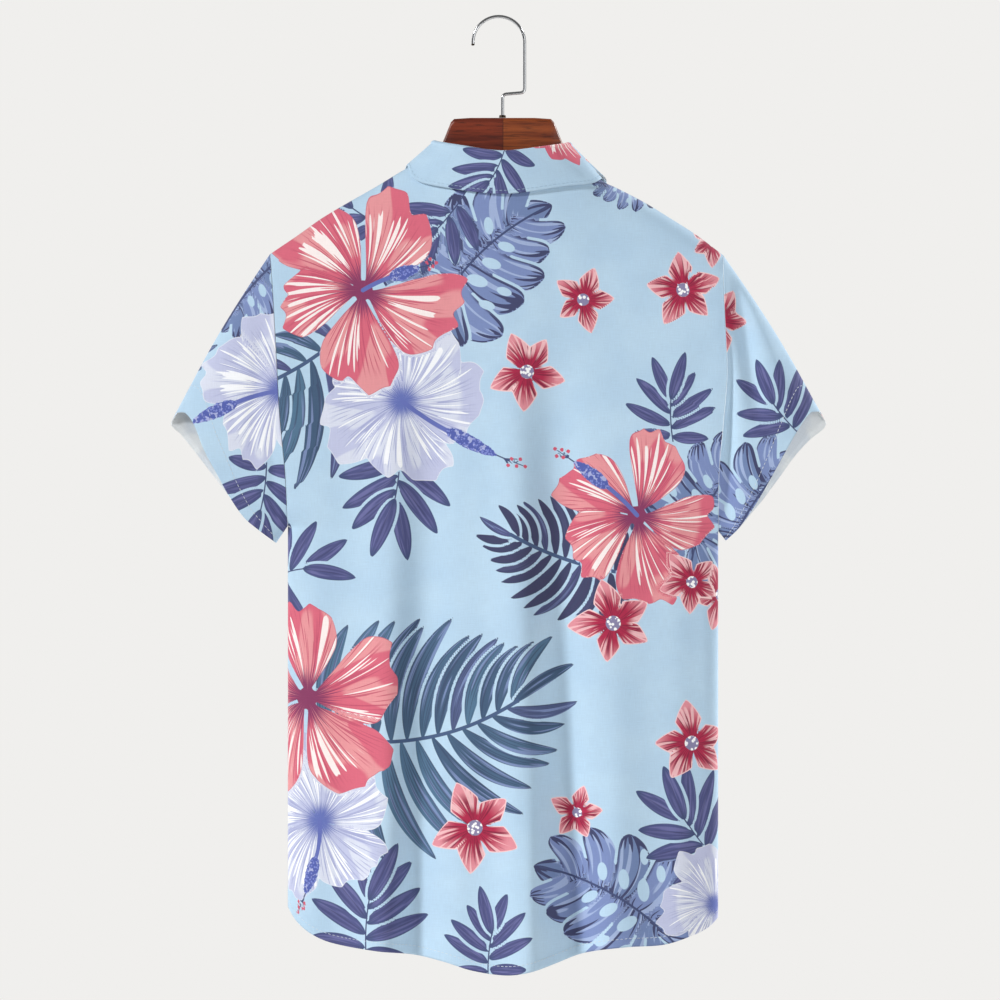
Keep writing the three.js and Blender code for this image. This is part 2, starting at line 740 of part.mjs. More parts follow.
// Place of a section on an arm, spread evenly from the shoulder of the wood to the arm's own end.
function armPlace(x, end) {
  const last = WOOD_SECTIONS[WOOD_SECTIONS.length - 1].x;
  const beyond = Math.max(0, x - WOOD_SHOULDER) / (last - WOOD_SHOULDER);
  return Math.min(x, WOOD_SHOULDER) + beyond * (end - WOOD_SHOULDER);
}

// Underside of an arm, which keeps its distance below the cloth's crest on the lower side too.
function woodUnderside(side, x, section) {
  const drop = crestHeight(side.sign * x) - crestHeight(LEFT.sign * x);
  return section.under + drop * smoothStep(WOOD_SHOULDER / 2, WOOD_SHOULDER, x);
}

function woodGeometry() {
  const arm = (side, end) => WOOD_SECTIONS.slice(1).map((section) => {
    const x = armPlace(section.x, end);
    const top = woodTop(side.sign * x);
    const round = WOOD_TIP_ROUND * smoothStep(end - WOOD_TIP_LENGTH, end, x);
    return woodRing(side.sign * x, top - round / 2, woodUnderside(side, x, section) + round, section.half);
  });
  const centre = WOOD_SECTIONS[0];
  const rings = [
    ...arm(LEFT, WOOD_LEFT_END).reverse(),
    woodRing(0, WOOD_TOP, centre.under, centre.half),
    ...arm(RIGHT, WOOD_RIGHT_END),
  ];
  return loftGeometry(rings);
}

// Solid through a row of rings with flat ends.
function loftGeometry(rings) {
  const count = rings[0].length;
  const positions = [];
  rings.forEach((ring) => ring.forEach((point) => positions.push(point.x, point.y, point.z)));
  const index = [];
  for (let k = 0; k + 1 < rings.length; k += 1) {
    for (let i = 0; i < count; i += 1) {
      const a = k * count + i;
      const b = k * count + ((i + 1) % count);
      index.push(a, b, b + count, a, b + count, a + count);
    }
  }
  [0, rings.length - 1].forEach((k) => {
    for (let i = 1; i + 1 < count; i += 1) {
      const fan = [k * count, k * count + i + 1, k * count + i];
      index.push(...(k === 0 ? fan : fan.reverse()));
    }
  });
  return facingOut(positions, index);
}

// Wire hook: an open crook, a straight leg, a step back to the middle and a stub into the wood.
function hookPath() {
  const centre = { x: -HOOK_SHIFT, z: -Math.sqrt((HOOK_RADIUS - WIRE) ** 2 - HOOK_SHIFT ** 2) };
  const points = [];
  const arcTo = (x, z, radius, from, to, steps) => {
    for (let k = 0; k <= steps; k += 1) {
      const angle = THREE.MathUtils.degToRad(from + ((to - from) * k) / steps);
      points.push(new THREE.Vector3(x + radius * Math.cos(angle), 0, z + radius * Math.sin(angle)));
    }
  };
  arcTo(centre.x, centre.z, HOOK_RADIUS, HOOK_TIP_ANGLE, 0, HOOK_ARC_POINTS);
  const legX = centre.x + HOOK_RADIUS;
  points.push(new THREE.Vector3(legX, 0, (centre.z + HOOK_LEG_BOTTOM) / 2));
  const bend = 90 - HOOK_STEP_SLOPE;
  arcTo(legX - HOOK_BEND, HOOK_LEG_BOTTOM, HOOK_BEND, 0, -bend, HOOK_BEND_POINTS);
  const fall = (legX - 2 * HOOK_BEND) * Math.tan(THREE.MathUtils.degToRad(HOOK_STEP_SLOPE));
  const stubTurn = HOOK_LEG_BOTTOM - 2 * HOOK_BEND - fall;
  arcTo(HOOK_BEND, stubTurn, HOOK_BEND, 180 - bend, 180, HOOK_BEND_POINTS);
  points.push(new THREE.Vector3(0, 0, (stubTurn + WOOD_TOP) / 2));
  points.push(new THREE.Vector3(0, 0, WOOD_TOP + SEAM_GAP));
  return new THREE.CatmullRomCurve3(points, false, 'centripetal');
}

function hookGeometry() {
  const section = new THREE.Shape();
  for (let i = 0; i < WIRE_SIDES; i += 1) {
    const angle = (2 * Math.PI * (i + 0.5)) / WIRE_SIDES;
    const x = WIRE * Math.cos(angle);
    const y = WIRE * Math.sin(angle);
    if (i === 0) {
      section.moveTo(x, y);
    } else {
      section.lineTo(x, y);
    }
  }
  section.closePath();
  return new THREE.ExtrudeGeometry(section, { steps: HOOK_STEPS, extrudePath: hookPath() });
}

// Small metal ring round the hook's stub, on top of the wood.
function ferruleGeometry() {
  const bore = WIRE + SEAM_GAP;
  const outline = [
    [bore, 0],
    [FERRULE_RADIUS, 0],
    [FERRULE_RADIUS - FERRULE_TAPER, FERRULE_HEIGHT],
    [bore, FERRULE_HEIGHT],
    [bore, 0],
  ].map(([radius, height]) => new THREE.Vector2(radius, height));
  return new THREE.LatheGeometry(outline, ROUND_SIDES);
}

function piece(name, geometry, finish) {
  const mesh = new THREE.Mesh(geometry, new THREE.MeshStandardMaterial(MATERIALS[finish]));
  mesh.name = name;
  return mesh;
}

function buildShirt() {
  const shirt = new THREE.Group();
  shirt.add(piece('back', panelGeometry(BACK_PANEL, backShares()), 'cloth'));
  shirt.add(piece('front_left', panelGeometry(LAPPED_PANEL, frontShares(-1)), 'cloth'));
  shirt.add(piece('front_right', panelGeometry(FRONT_PANEL, frontShares(1)), 'cloth'));
  shirt.add(piece('sleeve_left', sleeveGeometry(LEFT), 'cloth'));
  shirt.add(piece('sleeve_right', sleeveGeometry(RIGHT), 'cloth'));
  shirt.add(piece('collar_stand', standGeometry(), 'collar'));
  shirt.add(piece('collar_fall', fallGeometry(), 'collar'));
  BUTTON_HEIGHTS.forEach((height, i) => {
    const button = piece(`button_${i + 1}`, buttonGeometry(), 'button');
    seatButton(button, height);
    shirt.add(button);
  });
  return shirt;
}

function buildHanger() {
  const hanger = new THREE.Group();
  hanger.add(piece('hanger_wood', woodGeometry(), 'wood'));
  hanger.add(piece('hanger_hook', hookGeometry(), 'chrome'));
  const ferrule = piece('hanger_ferrule', ferruleGeometry(), 'ferrule');
  ferrule.rotation.x = Math.PI / 2;
  ferrule.position.z = WOOD_TOP + SEAM_GAP;
  hanger.add(ferrule);
  return hanger;
}

const object = new THREE.Group();
object.add(buildShirt(), buildHanger());

export default object;
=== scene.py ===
"""Hawaiian shirt, seen from its back, on a shaped wooden hanger with a wire hook.

The origin is inside the hook's top. +Z is up, -Y is the shirt's back, +Y its buttoned front and +X the
wearer's right. Shape functions work in millimetres, and meshes are written in metres.
"""
import json
import logging
import math
from dataclasses import dataclass
from enum import Enum
from typing import Callable, Optional, Sequence

import bmesh
import bpy
import numpy as np
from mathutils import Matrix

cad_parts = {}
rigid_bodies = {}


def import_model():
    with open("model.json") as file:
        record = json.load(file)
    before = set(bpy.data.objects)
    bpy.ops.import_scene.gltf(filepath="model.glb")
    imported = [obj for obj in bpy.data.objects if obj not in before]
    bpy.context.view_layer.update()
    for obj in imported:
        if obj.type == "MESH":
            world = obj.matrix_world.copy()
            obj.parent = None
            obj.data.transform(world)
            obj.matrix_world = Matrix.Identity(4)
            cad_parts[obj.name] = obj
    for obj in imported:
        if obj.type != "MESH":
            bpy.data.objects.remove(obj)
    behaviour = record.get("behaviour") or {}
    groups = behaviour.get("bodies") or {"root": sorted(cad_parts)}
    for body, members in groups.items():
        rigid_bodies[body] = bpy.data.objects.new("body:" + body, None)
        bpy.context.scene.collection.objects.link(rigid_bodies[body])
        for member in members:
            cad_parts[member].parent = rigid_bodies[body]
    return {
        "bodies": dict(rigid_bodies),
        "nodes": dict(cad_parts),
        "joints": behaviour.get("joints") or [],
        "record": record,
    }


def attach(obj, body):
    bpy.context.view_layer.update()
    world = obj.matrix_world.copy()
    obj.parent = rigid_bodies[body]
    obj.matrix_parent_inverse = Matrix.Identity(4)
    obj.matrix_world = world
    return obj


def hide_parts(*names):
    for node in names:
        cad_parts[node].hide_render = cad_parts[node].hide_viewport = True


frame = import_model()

LOG = logging.getLogger("hawaiian_shirt")
MM = 0.001
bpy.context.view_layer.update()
Table = tuple[tuple[float, ...], ...]
Array = np.ndarray


# Reading tables and small helpers

def read(table: Table, column: int, place: Array) -> Array:
    """Reads a column of a table between its rows, on a smooth cubic through them.

    Args:
        table: Rows whose first value is the key, in rising order.
        column: The column to read.
        place: Keys at which to read it.

    Returns:
        The column's value at each place: a cubic with the slope of each row's two neighbours.
    """
    rows = np.asarray(table, float)
    key, value = rows[:, 0], rows[:, column]
    order = np.arange(len(key))
    after, before = np.minimum(order + 1, len(key) - 1), np.maximum(order - 1, 0)
    slope = (value[after] - value[before]) / (key[after] - key[before])
    at = np.clip(place, key[0], key[-1])
    i = np.clip(np.searchsorted(key, at, side="right") - 1, 0, len(key) - 2)
    span = key[i + 1] - key[i]
    t = (at - key[i]) / span
    level = value[i] + (value[i + 1] - value[i]) * t * t * (3 - 2 * t)
    return level + slope[i] * t * (1 - t) ** 2 * span + slope[i + 1] * t * t * (t - 1) * span


def ease(start: float, stop: float, value: Array) -> Array:
    """Eases from 0 to 1 while value goes from start to stop: 3t^2 - 2t^3."""
    t = np.clip((value - start) / (stop - start), 0, 1)
    return t * t * (3 - 2 * t)


def unit(vectors: Array) -> Array:
    """Vectors of length 1 in the same directions."""
    return vectors / np.maximum(np.linalg.norm(vectors, axis=-1, keepdims=True), 1e-12)


def wrapped(grid: Array, axis: int = 1) -> Array:
    """The grid with its first part again at its end, so that it closes a ring."""
    return np.concatenate([grid, np.take(grid, [0], axis=axis)], axis=axis)


def ring_index(rows: int, sides: int) -> Array:
    """Numbers of the points of rings, one ring a row, with the first point again at the end."""
    return wrapped(np.arange(rows * sides).reshape(rows, sides))


def quads_of(index: Array) -> Array:
    """Four corners of each cell of an index grid."""
    a, b, c, d = index[:-1, :-1], index[1:, :-1], index[1:, 1:], index[:-1, 1:]
    return np.stack([a, b, c, d], axis=-1).reshape(-1, 4)


def end_fans(index: Array) -> Array:
    """Triangles from the first and the last ring to the two points that follow the grid."""
    tip = index[-1, -2] + 1
    fans = [(index[0, 1:], index[0, :-1], tip), (index[-1, :-1], index[-1, 1:], tip + 1)]
    return np.concatenate([np.stack(np.broadcast_arrays(*fan), axis=-1) for fan in fans])


def circle(sides: int) -> tuple[Array, Array]:
    """Cosines and sines of even turns of a circle."""
    angle = 2 * np.pi * np.arange(sides) / sides
    return np.cos(angle), np.sin(angle)


def grid_normals(points: Array, closed: bool = False) -> Array:
    """Unit normals of a grid: the cross product of its differences along columns and rows.

    Args:
        points: Grid of points, rows by columns by 3.
        closed: Whether the columns run round a ring.

    Returns:
        A normal for each point, facing along columns x rows.
    """
    ahead, behind = np.roll(points, -1, axis=1), np.roll(points, 1, axis=1)
    across = ahead - behind if closed else np.gradient(points, axis=1)
    return unit(np.cross(across, np.gradient(points, axis=0)))


# Form of the garment

@dataclass(frozen=True)
class Side:
    """One side of the garment. Distances are from its middle.

    shoulder: distance and height of the cloth's crest. edge: height and distance of the armhole and side
    seam. cuff: share along the cuff, and how far its back and front bow out.
    """

    sign: int
    shoulder: Table
    edge: Table
    cuff_top: tuple[float, float]
    cuff_bottom: tuple[float, float]
    cuff: Table


LEFT = Side(
    sign=-1,
    shoulder=((79, -133.8), (95, -142.6), (117, -156), (143, -170.7), (168, -185.5), (190, -201),
              (216, -218.5)),
    edge=((-472, 199.8), (-424, 202), (-371, 207), (-335, 209), (-271, 212.5), (-218.5, 216)),
    cuff_top=(300, -364),
    cuff_bottom=(210.4, -487.8),
    cuff=((0, 4, 4), (0.03, -2, 14.5), (0.12, -2.5, 13), (0.28, 3.5, 11.8), (0.45, 7, 11), (0.6, 9.8, 10.3),
          (0.76, 10.2, 10.2), (0.88, 5.8, 5.8), (1, 0, 0)),
)
RIGHT = Side(
    sign=1,
    shoulder=((75, -138), (96, -152.8), (106, -157.4), (132, -170.9), (156, -185.5), (180, -200.8),
              (205, -219.5)),
    edge=((-478, 200.8), (-422, 201.3), (-379, 205), (-332, 208.7), (-301, 207.9), (-260, 206),
          (-219.5, 205)),
    cuff_top=(292, -363),
    cuff_bottom=(207.7, -485.6),
    cuff=((0, 4, 4), (0.04, -2.5, 16), (0.18, -3, 11.6), (0.31, -1.5, 8.8), (0.45, 0.5, 8.2),
          (0.66, 3.2, 7.1), (0.78, 3.8, 5.2), (0.9, 3, 3.7), (1, 0, 0)),
)
HEM: Table = (
    (-200, -826), (-192, -839), (-178, -851), (-158, -859.5), (-120, -866), (-82, -870), (-54, -876.5),
    (-28, -884.5), (2, -888.6), (24, -886), (48, -878.5), (77, -868), (115, -863), (150, -861), (176, -853),
    (192, -845), (201, -836),
)


@dataclass(frozen=True)
class Fold:
    """A long soft fold: where it starts and meets the hem, and its size and half width.

    A falling fold drops from a ridge on its left into a trough on its right, with its line between them.
    """

    top_x: float
    hem_x: float
    top: float
    size: float
    width: float
    falling: bool = False

    def shape(self, place: Array) -> Array:
        """Relief at a place across in half widths: a bell, or a bell's slope for a falling fold."""
        if self.falling:
            return -self.size * place * np.exp(0.5 * (1 - place ** 2))
        return self.size * np.exp(-(place ** 2))


BACK_FOLDS = (
    Fold(-84, -97, -330, 14, 19, falling=True), Fold(28, 43, -280, 15.5, 21, falling=True),
    Fold(-162, -170, -380, 4, 17, falling=True), Fold(110, 126, -420, 3, 22, falling=True),
    Fold(176, 186, -420, -3, 12),
)
FRONT_FOLDS = (
    Fold(-150, -160, -300, -6, 20), Fold(-92, -108, -260, 10, 20, falling=True), Fold(-50, -62, -320, -6, 18),
    Fold(52, 66, -300, -6, 20), Fold(98, 116, -270, -10, 21, falling=True), Fold(156, 170, -400, -6, 18),
)


@dataclass(frozen=True)
class Crease:
    """A slighter slanting crease from one point to another, with its depth and half width."""

    start: tuple[float, float]
    end: tuple[float, float]
    depth: float
    width: float


BACK_CREASES = (
    Crease((-196, -455), (-120, -520), -1.5, 9), Crease((196, -455), (128, -540), -1.6, 10),
    Crease((-198, -300), (-150, -420), -1.3, 12), Crease((198, -290), (150, -430), -1.5, 13),
    Crease((-168, -196), (-110, -260), 0.9, 12), Crease((160, -200), (104, -262), 0.9, 12),
    Crease((-40, -180), (-52, -300), -0.8, 15), Crease((36, -185), (60, -330), -0.9, 14),
    Crease((-20, -560), (-44, -860), 1.4, 11), Crease((94, -600), (88, -866), -1.5, 12),
    Crease((-118, -610), (-112, -866), -1.6, 10), Crease((20, -640), (16, -886), -1.5, 9),
    Crease((166, -700), (160, -858), 1.2, 9), Crease((-176, -650), (-184, -846), -1.2, 8),
)
FRONT_CREASES = (
    Crease((196, -455), (126, -515), -1.4, 9), Crease((-196, -452), (-130, -530), -1.5, 10),
    Crease((190, -300), (146, -420), -1.2, 12), Crease((-190, -310), (-140, -410), -1.3, 12),
    Crease((-84, -640), (-88, -866), 1.4, 11), Crease((86, -600), (92, -866), 1.3, 10),
    Crease((30, -700), (34, -880), -1.3, 9), Crease((-28, -620), (-36, -880), -1.4, 10),
    Crease((136, -620), (146, -860), -1.4, 10), Crease((-132, -650), (-136, -862), -1.2, 9),
)


@dataclass(frozen=True)
class BodyForm:
    """Hollow form of the body: half-depths from a middle surface that bows forward at the sides."""

    bow: float = 16
    bow_at: float = 218
    chest_full: float = 24
    chest_level: float = -350
    hem_full: float = 31
    hem_level: float = -880
    crest_radius: float = 12
    side_power: float = 2.6
    sleeve_reach: float = 120
    reach_rise: float = 70
    neck_spread: float = 75
    neck_full: float = 16
    neck_fade: float = 120
    neck_radius: float = 12
    neck_share: float = 0.366
    neck_arch: float = 19
    fold_growth: float = 0.55
    fold_start: float = 0.12

    def middle(self, x: Array) -> Array:
        """Depth of the middle surface: a parabola that bows towards the front at the sides."""
        return self.bow * (x / self.bow_at) ** 2

    def neck_level(self, side: Side, share: Array) -> Array:
        """Level of the neck point of one side, which evens out towards the middle of the neck."""
        even = (LEFT.shoulder[0][1] + RIGHT.shoulder[0][1]) / 2
        return even + (side.shoulder[0][1] - even) * share

    def crest(self, x: Array) -> Array:
        """Height of the crest over the hanger, with a parabolic arch over the neck opening."""
        sides = []
        for side in (LEFT, RIGHT):
            share = np.abs(x) / side.shoulder[0][0]
            arch = self.neck_level(side, share) + self.neck_arch * (1 - share ** 2)
            sides.append(np.where(share > 1, read(side.shoulder, 1, np.abs(x)), arch))
        return np.where(x < 0, sides[0], sides[1])

    def reach(self, x: Array, z: Array) -> Array:
        """Half-width of the flat tube, which opens exponentially into the sleeve above the underarm."""
        sides = []
        for side in (LEFT, RIGHT):
            above = np.maximum(0, z - side.edge[0][0])
            opening = self.sleeve_reach * (1 - np.exp(-above / self.reach_rise))
            sides.append(read(side.edge, 1, z) + opening)
        return np.where(x < 0, sides[0], sides[1])

    def half_depth(self, x: Array, z: Array, folds: Sequence[Fold], creases: Sequence[Crease] = ()) -> Array:
        """Distance of the cloth from the middle surface.

        The crest is 1 - exp(-sqrt(2 r d) / full) of the full depth at a distance d below the crest, the
        sides close as sqrt(1 - share^power), and folds and creases are bell curves across their lines.

        Args:
            x: Places across.
            z: Heights.
            folds: Long folds, which grow from their top to the hem.
            creases: Slighter creases, which fade at both ends.

        Returns:
            The distance at each place.
        """
        below = np.maximum(0, self.crest(x) - z)
        at_neck = np.exp(-((x / self.neck_spread) ** 2))
        drop = ease(self.chest_level, self.hem_level, z)
        full = self.chest_full + (self.hem_full - self.chest_full) * drop
        full = full + self.neck_full * at_neck * np.exp(-below / self.neck_fade)
        radius = self.crest_radius + self.neck_radius * at_neck
        crest = 1 - np.exp(-np.sqrt(2 * radius * below) / full)
        side = np.sqrt(1 - np.minimum(1, np.abs(x) / self.reach(x, z)) ** self.side_power)
        waves = np.zeros_like(x)
        for fold in folds:
            hang = np.clip((fold.top - z) / (fold.top - self.hem_level), 0, 1)
            centre = fold.top_x + (fold.hem_x - fold.top_x) * hang
            grow = hang ** self.fold_growth * ease(0, self.fold_start, hang)
            waves = waves + grow * fold.shape((x - centre) / fold.width)
        for crease in creases:
            waves = waves + crease_relief(crease, x, z)
        return (full + waves) * crest * side


def crease_relief(crease: Crease, x: Array, z: Array) -> Array:
    """Relief of a crease: a bell curve across its line times a half sine wave along it."""
    run = np.subtract(crease.end, crease.start)
    length = np.hypot(*run)
    across = ((x - crease.start[0]) * run[1] - (z - crease.start[1]) * run[0]) / length
    along = ((x - crease.start[0]) * run[0] + (z - crease.start[1]) * run[1]) / length ** 2
    swell = np.sin(np.pi * np.clip(along, 0, 1)) ** 0.7
    return crease.depth * swell * np.exp(-((across / crease.width) ** 2))


BODY = BodyForm()
# Share of the side down to which the armhole goes.
ARMHOLE_SHARE = 0.4175
# Millimetres: the gap at a seam, how far the left front stands out and laps over, and the cloth's thickness.
SEAM_GAP = 0.3
LAP_STEP = 1.9
FRONT_LAP = 13
CLOTH = 0.75
# What every print attribute holds on the reverse: further out than any ink.
UNPRINTED = 12.0
UV_MAP = "cloth"
HEM_DEPTH = 9.5
HEM_PROUD = 0.35
SEAM_PINCH = 0.35


@dataclass(frozen=True)
class PanelCut:
    """How a body panel is cut: its face (-1 back, 1 front), folds, creases, neck drop and its curve."""

    face: int
    folds: tuple[Fold, ...]
    creases: tuple[Crease, ...]
    neck_drop: float
    neck_power: float
    lapped: bool = False

    def point(self, share: Array, row: Array, proud: Array = 0) -> Array:
        """Outside points of the panel.

        Args:
            share: Shares of the half-width, negative on the left.
            row: Shares of the way from the top edge to the hem.
            proud: How far the surface stands out further.

        Returns:
            Points, with a last axis of x, y and z.
        """
        parts = [self._on_side(side, share, row) for side in (LEFT, RIGHT)]
        x, z = (np.where(share < 0, a, b) for a, b in zip(*parts))
        lift = LAP_STEP * ease(-3 * FRONT_LAP, -FRONT_LAP - 2, x) if self.lapped else 0
        out = BODY.half_depth(x, z, self.folds, self.creases) + SEAM_GAP / 2 + lift + proud
        return np.stack([x, BODY.middle(x) + self.face * out, z], axis=-1)

    def _on_side(self, side: Side, share: Array, row: Array) -> tuple[Array, Array]:
        """Places across and heights on one side: straight shares of its edge, top and hem curves."""
        reach, shoulder = side.shoulder[-1]
        corner = read(HEM, 1, side.sign * side.edge[0][1])
        edge_z = shoulder + (corner - shoulder) * row
        x = share * read(side.edge, 1, edge_z)
        inside = np.minimum(1, np.abs(share) / BODY.neck_share)
        neck = BODY.neck_level(side, inside) - self.neck_drop * (1 - inside ** self.neck_power)
        top = np.where(inside < 1, neck, BODY.crest(share * reach))
        hem = read(HEM, 1, share * read(side.edge, 1, corner))
        return x, top + (hem - top) * row


BACK = PanelCut(-1, BACK_FOLDS, BACK_CREASES, 16, 2.2)
FRONT = PanelCut(1, FRONT_FOLDS, FRONT_CREASES, 56, 2.6)
LAPPED = PanelCut(1, FRONT_FOLDS, FRONT_CREASES, 56, 2.6, lapped=True)


# Meshes

@dataclass
class Cut:
    """A grid of a piece: outside points, outward normals and places on the flat cloth."""

    points: Array
    normals: Array
    plan: Array
    closed: bool = False

    def flat_size(self) -> tuple[float, float, float]:
        """Flat size of what shows, in metres and square metres.

        Returns:
            The longest way across and down the grid, and the area of its faces.
        """
        grid = wrapped(self.points) if self.closed else self.points
        width, length = (np.linalg.norm(np.diff(grid, axis=k), axis=-1).sum(axis=k).max() for k in (1, 0))
        one, two = grid[1:, 1:] - grid[:-1, :-1], grid[1:, :-1] - grid[:-1, 1:]
        area = np.linalg.norm(np.cross(one, two), axis=-1).sum() / 2
        return float(width * MM), float(length * MM), float(area * MM ** 2)


@dataclass
class ClothMesh:
    """A thin closed shell of cloth on a grid of outside points.

    The inside is a grid with every third row and column, and the rims join three edges to one.
    """

    name: str
    cut: Cut
    marks: dict[str, Array]
    thickness: float = CLOTH
    ratio: int = 3

    def build(self) -> bpy.types.Mesh:
        """Joins outside, inside and rims, writes the plan as a UV map and the marks as attributes.

        Returns:
            The new mesh, with material 0 outside and 1 inside.
        """
        outside, plan = self.cut.points, self.cut.plan
        rows, columns = outside.shape[:2]
        every = (slice(None, None, self.ratio),) * 2
        coarse = outside[every] - self.thickness * self.cut.normals[every]
        plan = np.concatenate([plan.reshape(-1, 2), plan[every].reshape(-1, 2)])
        outer = np.arange(rows * columns).reshape(rows, columns)
        inner = rows * columns + np.arange(coarse[..., 0].size).reshape(coarse.shape[:2])
        if self.cut.closed:
            outer, inner = wrapped(outer), wrapped(inner)
        edges = [(outer[0], inner[0]), (outer[-1], inner[-1])]
        if not self.cut.closed:
            edges += [(outer[:, 0], inner[:, 0]), (outer[:, -1], inner[:, -1])]
        rims = np.concatenate([self._strip(*pair) for pair in edges])
        quads = [quads_of(outer), quads_of(inner)]
        points = np.concatenate([outside.reshape(-1, 3), coarse.reshape(-1, 3)]) * MM
        inside_faces = len(quads[1]) + len(rims)
        mesh = mesh_from(self.name, points, quads, rims)
        slots = np.zeros(len(mesh.polygons), np.int32)
        slots[-inside_faces:] = 1
        mesh.polygons.foreach_set("material_index", slots)
        write_uv(mesh, plan * MM)
        reverse = np.full((coarse[..., 0].size, 3), UNPRINTED)
        for key, values in self.marks.items():
            attribute = mesh.attributes.new(key, "FLOAT_VECTOR", "POINT")
            both = np.concatenate([values.reshape(-1, 3), reverse])
            attribute.data.foreach_set("vector", both.astype(np.float32).ravel())
        return mesh

    def _strip(self, outer: Array, inner: Array) -> Array:
        """Triangles between a fine edge and a coarse one: four for each coarse step."""
        a, b, c, d = (outer[k::self.ratio][: len(inner) - 1] for k in range(self.ratio + 1))
        near, far = inner[:-1], inner[1:]
        fans = [(a, b, near), (b, c, near), (c, far, near), (c, d, far)]
        return np.concatenate([np.stack(fan, axis=-1) for fan in fans])


def mesh_from(name: str, points: Array, quads: Sequence[Array],
              triangles: Optional[Array] = None) -> bpy.types.Mesh:
    """A mesh of quads and triangles whose faces are turned outwards.

    Args:
        name: The mesh's name.
        points: Vertices in metres.
        quads: Arrays of four corners.
        triangles: Array of three corners.

    Returns:
        The mesh, smooth shaded.
    """
    corners = [q.reshape(-1) for q in quads]
    sizes = [np.full(len(q), 4) for q in quads]
    if triangles is not None and len(triangles):
        corners.append(triangles.reshape(-1))
        sizes.append(np.full(len(triangles), 3))
    corner, size = np.concatenate(corners), np.concatenate(sizes)
    mesh = bpy.data.meshes.new(name)
    mesh.vertices.add(len(points))
    mesh.vertices.foreach_set("co", np.ascontiguousarray(points, np.float32).ravel())
    mesh.loops.add(len(corner))
    mesh.loops.foreach_set("vertex_index", corner.astype(np.int32))
    mesh.polygons.add(len(size))
    start = np.concatenate([[0], np.cumsum(size)[:-1]])
    mesh.polygons.foreach_set("loop_start", start.astype(np.int32))
    mesh.update(calc_edges=True)
    mesh.validate()
    work = bmesh.new()
    work.from_mesh(mesh)
    bmesh.ops.recalc_face_normals(work, faces=work.faces)
    work.to_mesh(mesh)
    work.free()
    mesh.polygons.foreach_set("use_smooth", np.ones(len(mesh.polygons), bool))
    return mesh


def write_uv(mesh: bpy.types.Mesh, plan: Array) -> None:
    """Writes a UV map from one pair of coordinates for each vertex."""
    corner = np.empty(len(mesh.loops), np.int32)
    mesh.loops.foreach_get("vertex_index", corner)
    layer = mesh.uv_layers.new(name=UV_MAP)
    layer.data.foreach_set("uv", plan[corner].astype(np.float32).ravel())


def object_from(name: str, data: bpy.types.ID) -> bpy.types.Object:
    """A new object at the origin with this mesh, lamp or camera, in the scene."""
    thing = bpy.data.objects.new(name, data)
    bpy.context.scene.collection.objects.link(thing)
    return thing


def settle(name: str, mesh: bpy.types.Mesh, finishes: Sequence[bpy.types.Material],
           node: Optional[str] = None) -> bpy.types.Object:
    """Puts a mesh in the scene on the root body.

    Args:
        name: The piece's name.
        mesh: Its mesh.
        finishes: Its materials.
        node: The solid that it stands for, if any.

    Returns:
        The new object.
    """
    thing = object_from(name, mesh)
    for finish in finishes:
        thing.data.materials.append(finish)
    if node:
        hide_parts(node)
    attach(thing, "root")
    LOG.info("%s: %d faces", name, len(mesh.polygons))
    return thing


def tube(path: Array, radius: Array, sides: int) -> tuple[Array, Array, Array]:
    """A round tube along a path, closed by a point at each end.

    Each ring is centre + radius (cos a N + sin a B), where N and B are square to the path.

    Args:
        path: Centres, in millimetres.
        radius: Radius at each centre.
        sides: Corners of a ring.

    Returns:
        Points, quads and end triangles.
    """
    forward = unit(np.gradient(path, axis=0))
    side = np.cross(forward, [0, 1, 0.0])
    weak = np.linalg.norm(side, axis=1, keepdims=True) < 0.2
    side = unit(np.where(weak, np.cross(forward, [0, 0, 1.0]), side))
    third = np.cross(forward, side)
    cosine, sine = circle(sides)
    spoke = side[:, None] * cosine[None, :, None] + third[:, None] * sine[None, :, None]
    rings = path[:, None] + np.broadcast_to(radius, (len(path),))[:, None, None] * spoke
    points = np.concatenate([rings.reshape(-1, 3), path[:1], path[-1:]])
    index = ring_index(len(path), sides)
    return points, quads_of(index), end_fans(index)


def join(parts: Sequence[tuple[Array, Array, Array]]) -> tuple[Array, Array, Array]:
    """Several point, quad and triangle sets as one."""
    offsets = np.cumsum([0] + [len(points) for points, _, _ in parts[:-1]])
    quads, triangles = (np.concatenate([part[k] + at for part, at in zip(parts, offsets)]) for k in (1, 2))
    return np.concatenate([part[0] for part in parts]), quads, triangles


def spread(count: int, start: float, grow: float, both: bool = False) -> Array:
    """Shares from 0 to 1 whose steps grow linearly from their start size over a share of the way.

    Args:
        count: How many shares.
        start: Size of the first step, compared with a full one.
        grow: Share of the way over which the steps grow by one full size.
        both: Whether the steps are small at both ends.

    Returns:
        The shares, in rising order.
    """
    place = (np.arange(count - 1) + 0.5) / (count - 1)
    if both:
        place = np.minimum(place, 1 - place)
    steps = np.minimum(start + place / grow, 1)
    return np.concatenate([[0], np.cumsum(steps)]) / steps.sum()


# Pieces of the garment, as grids of outside points with their places on the flat cloth

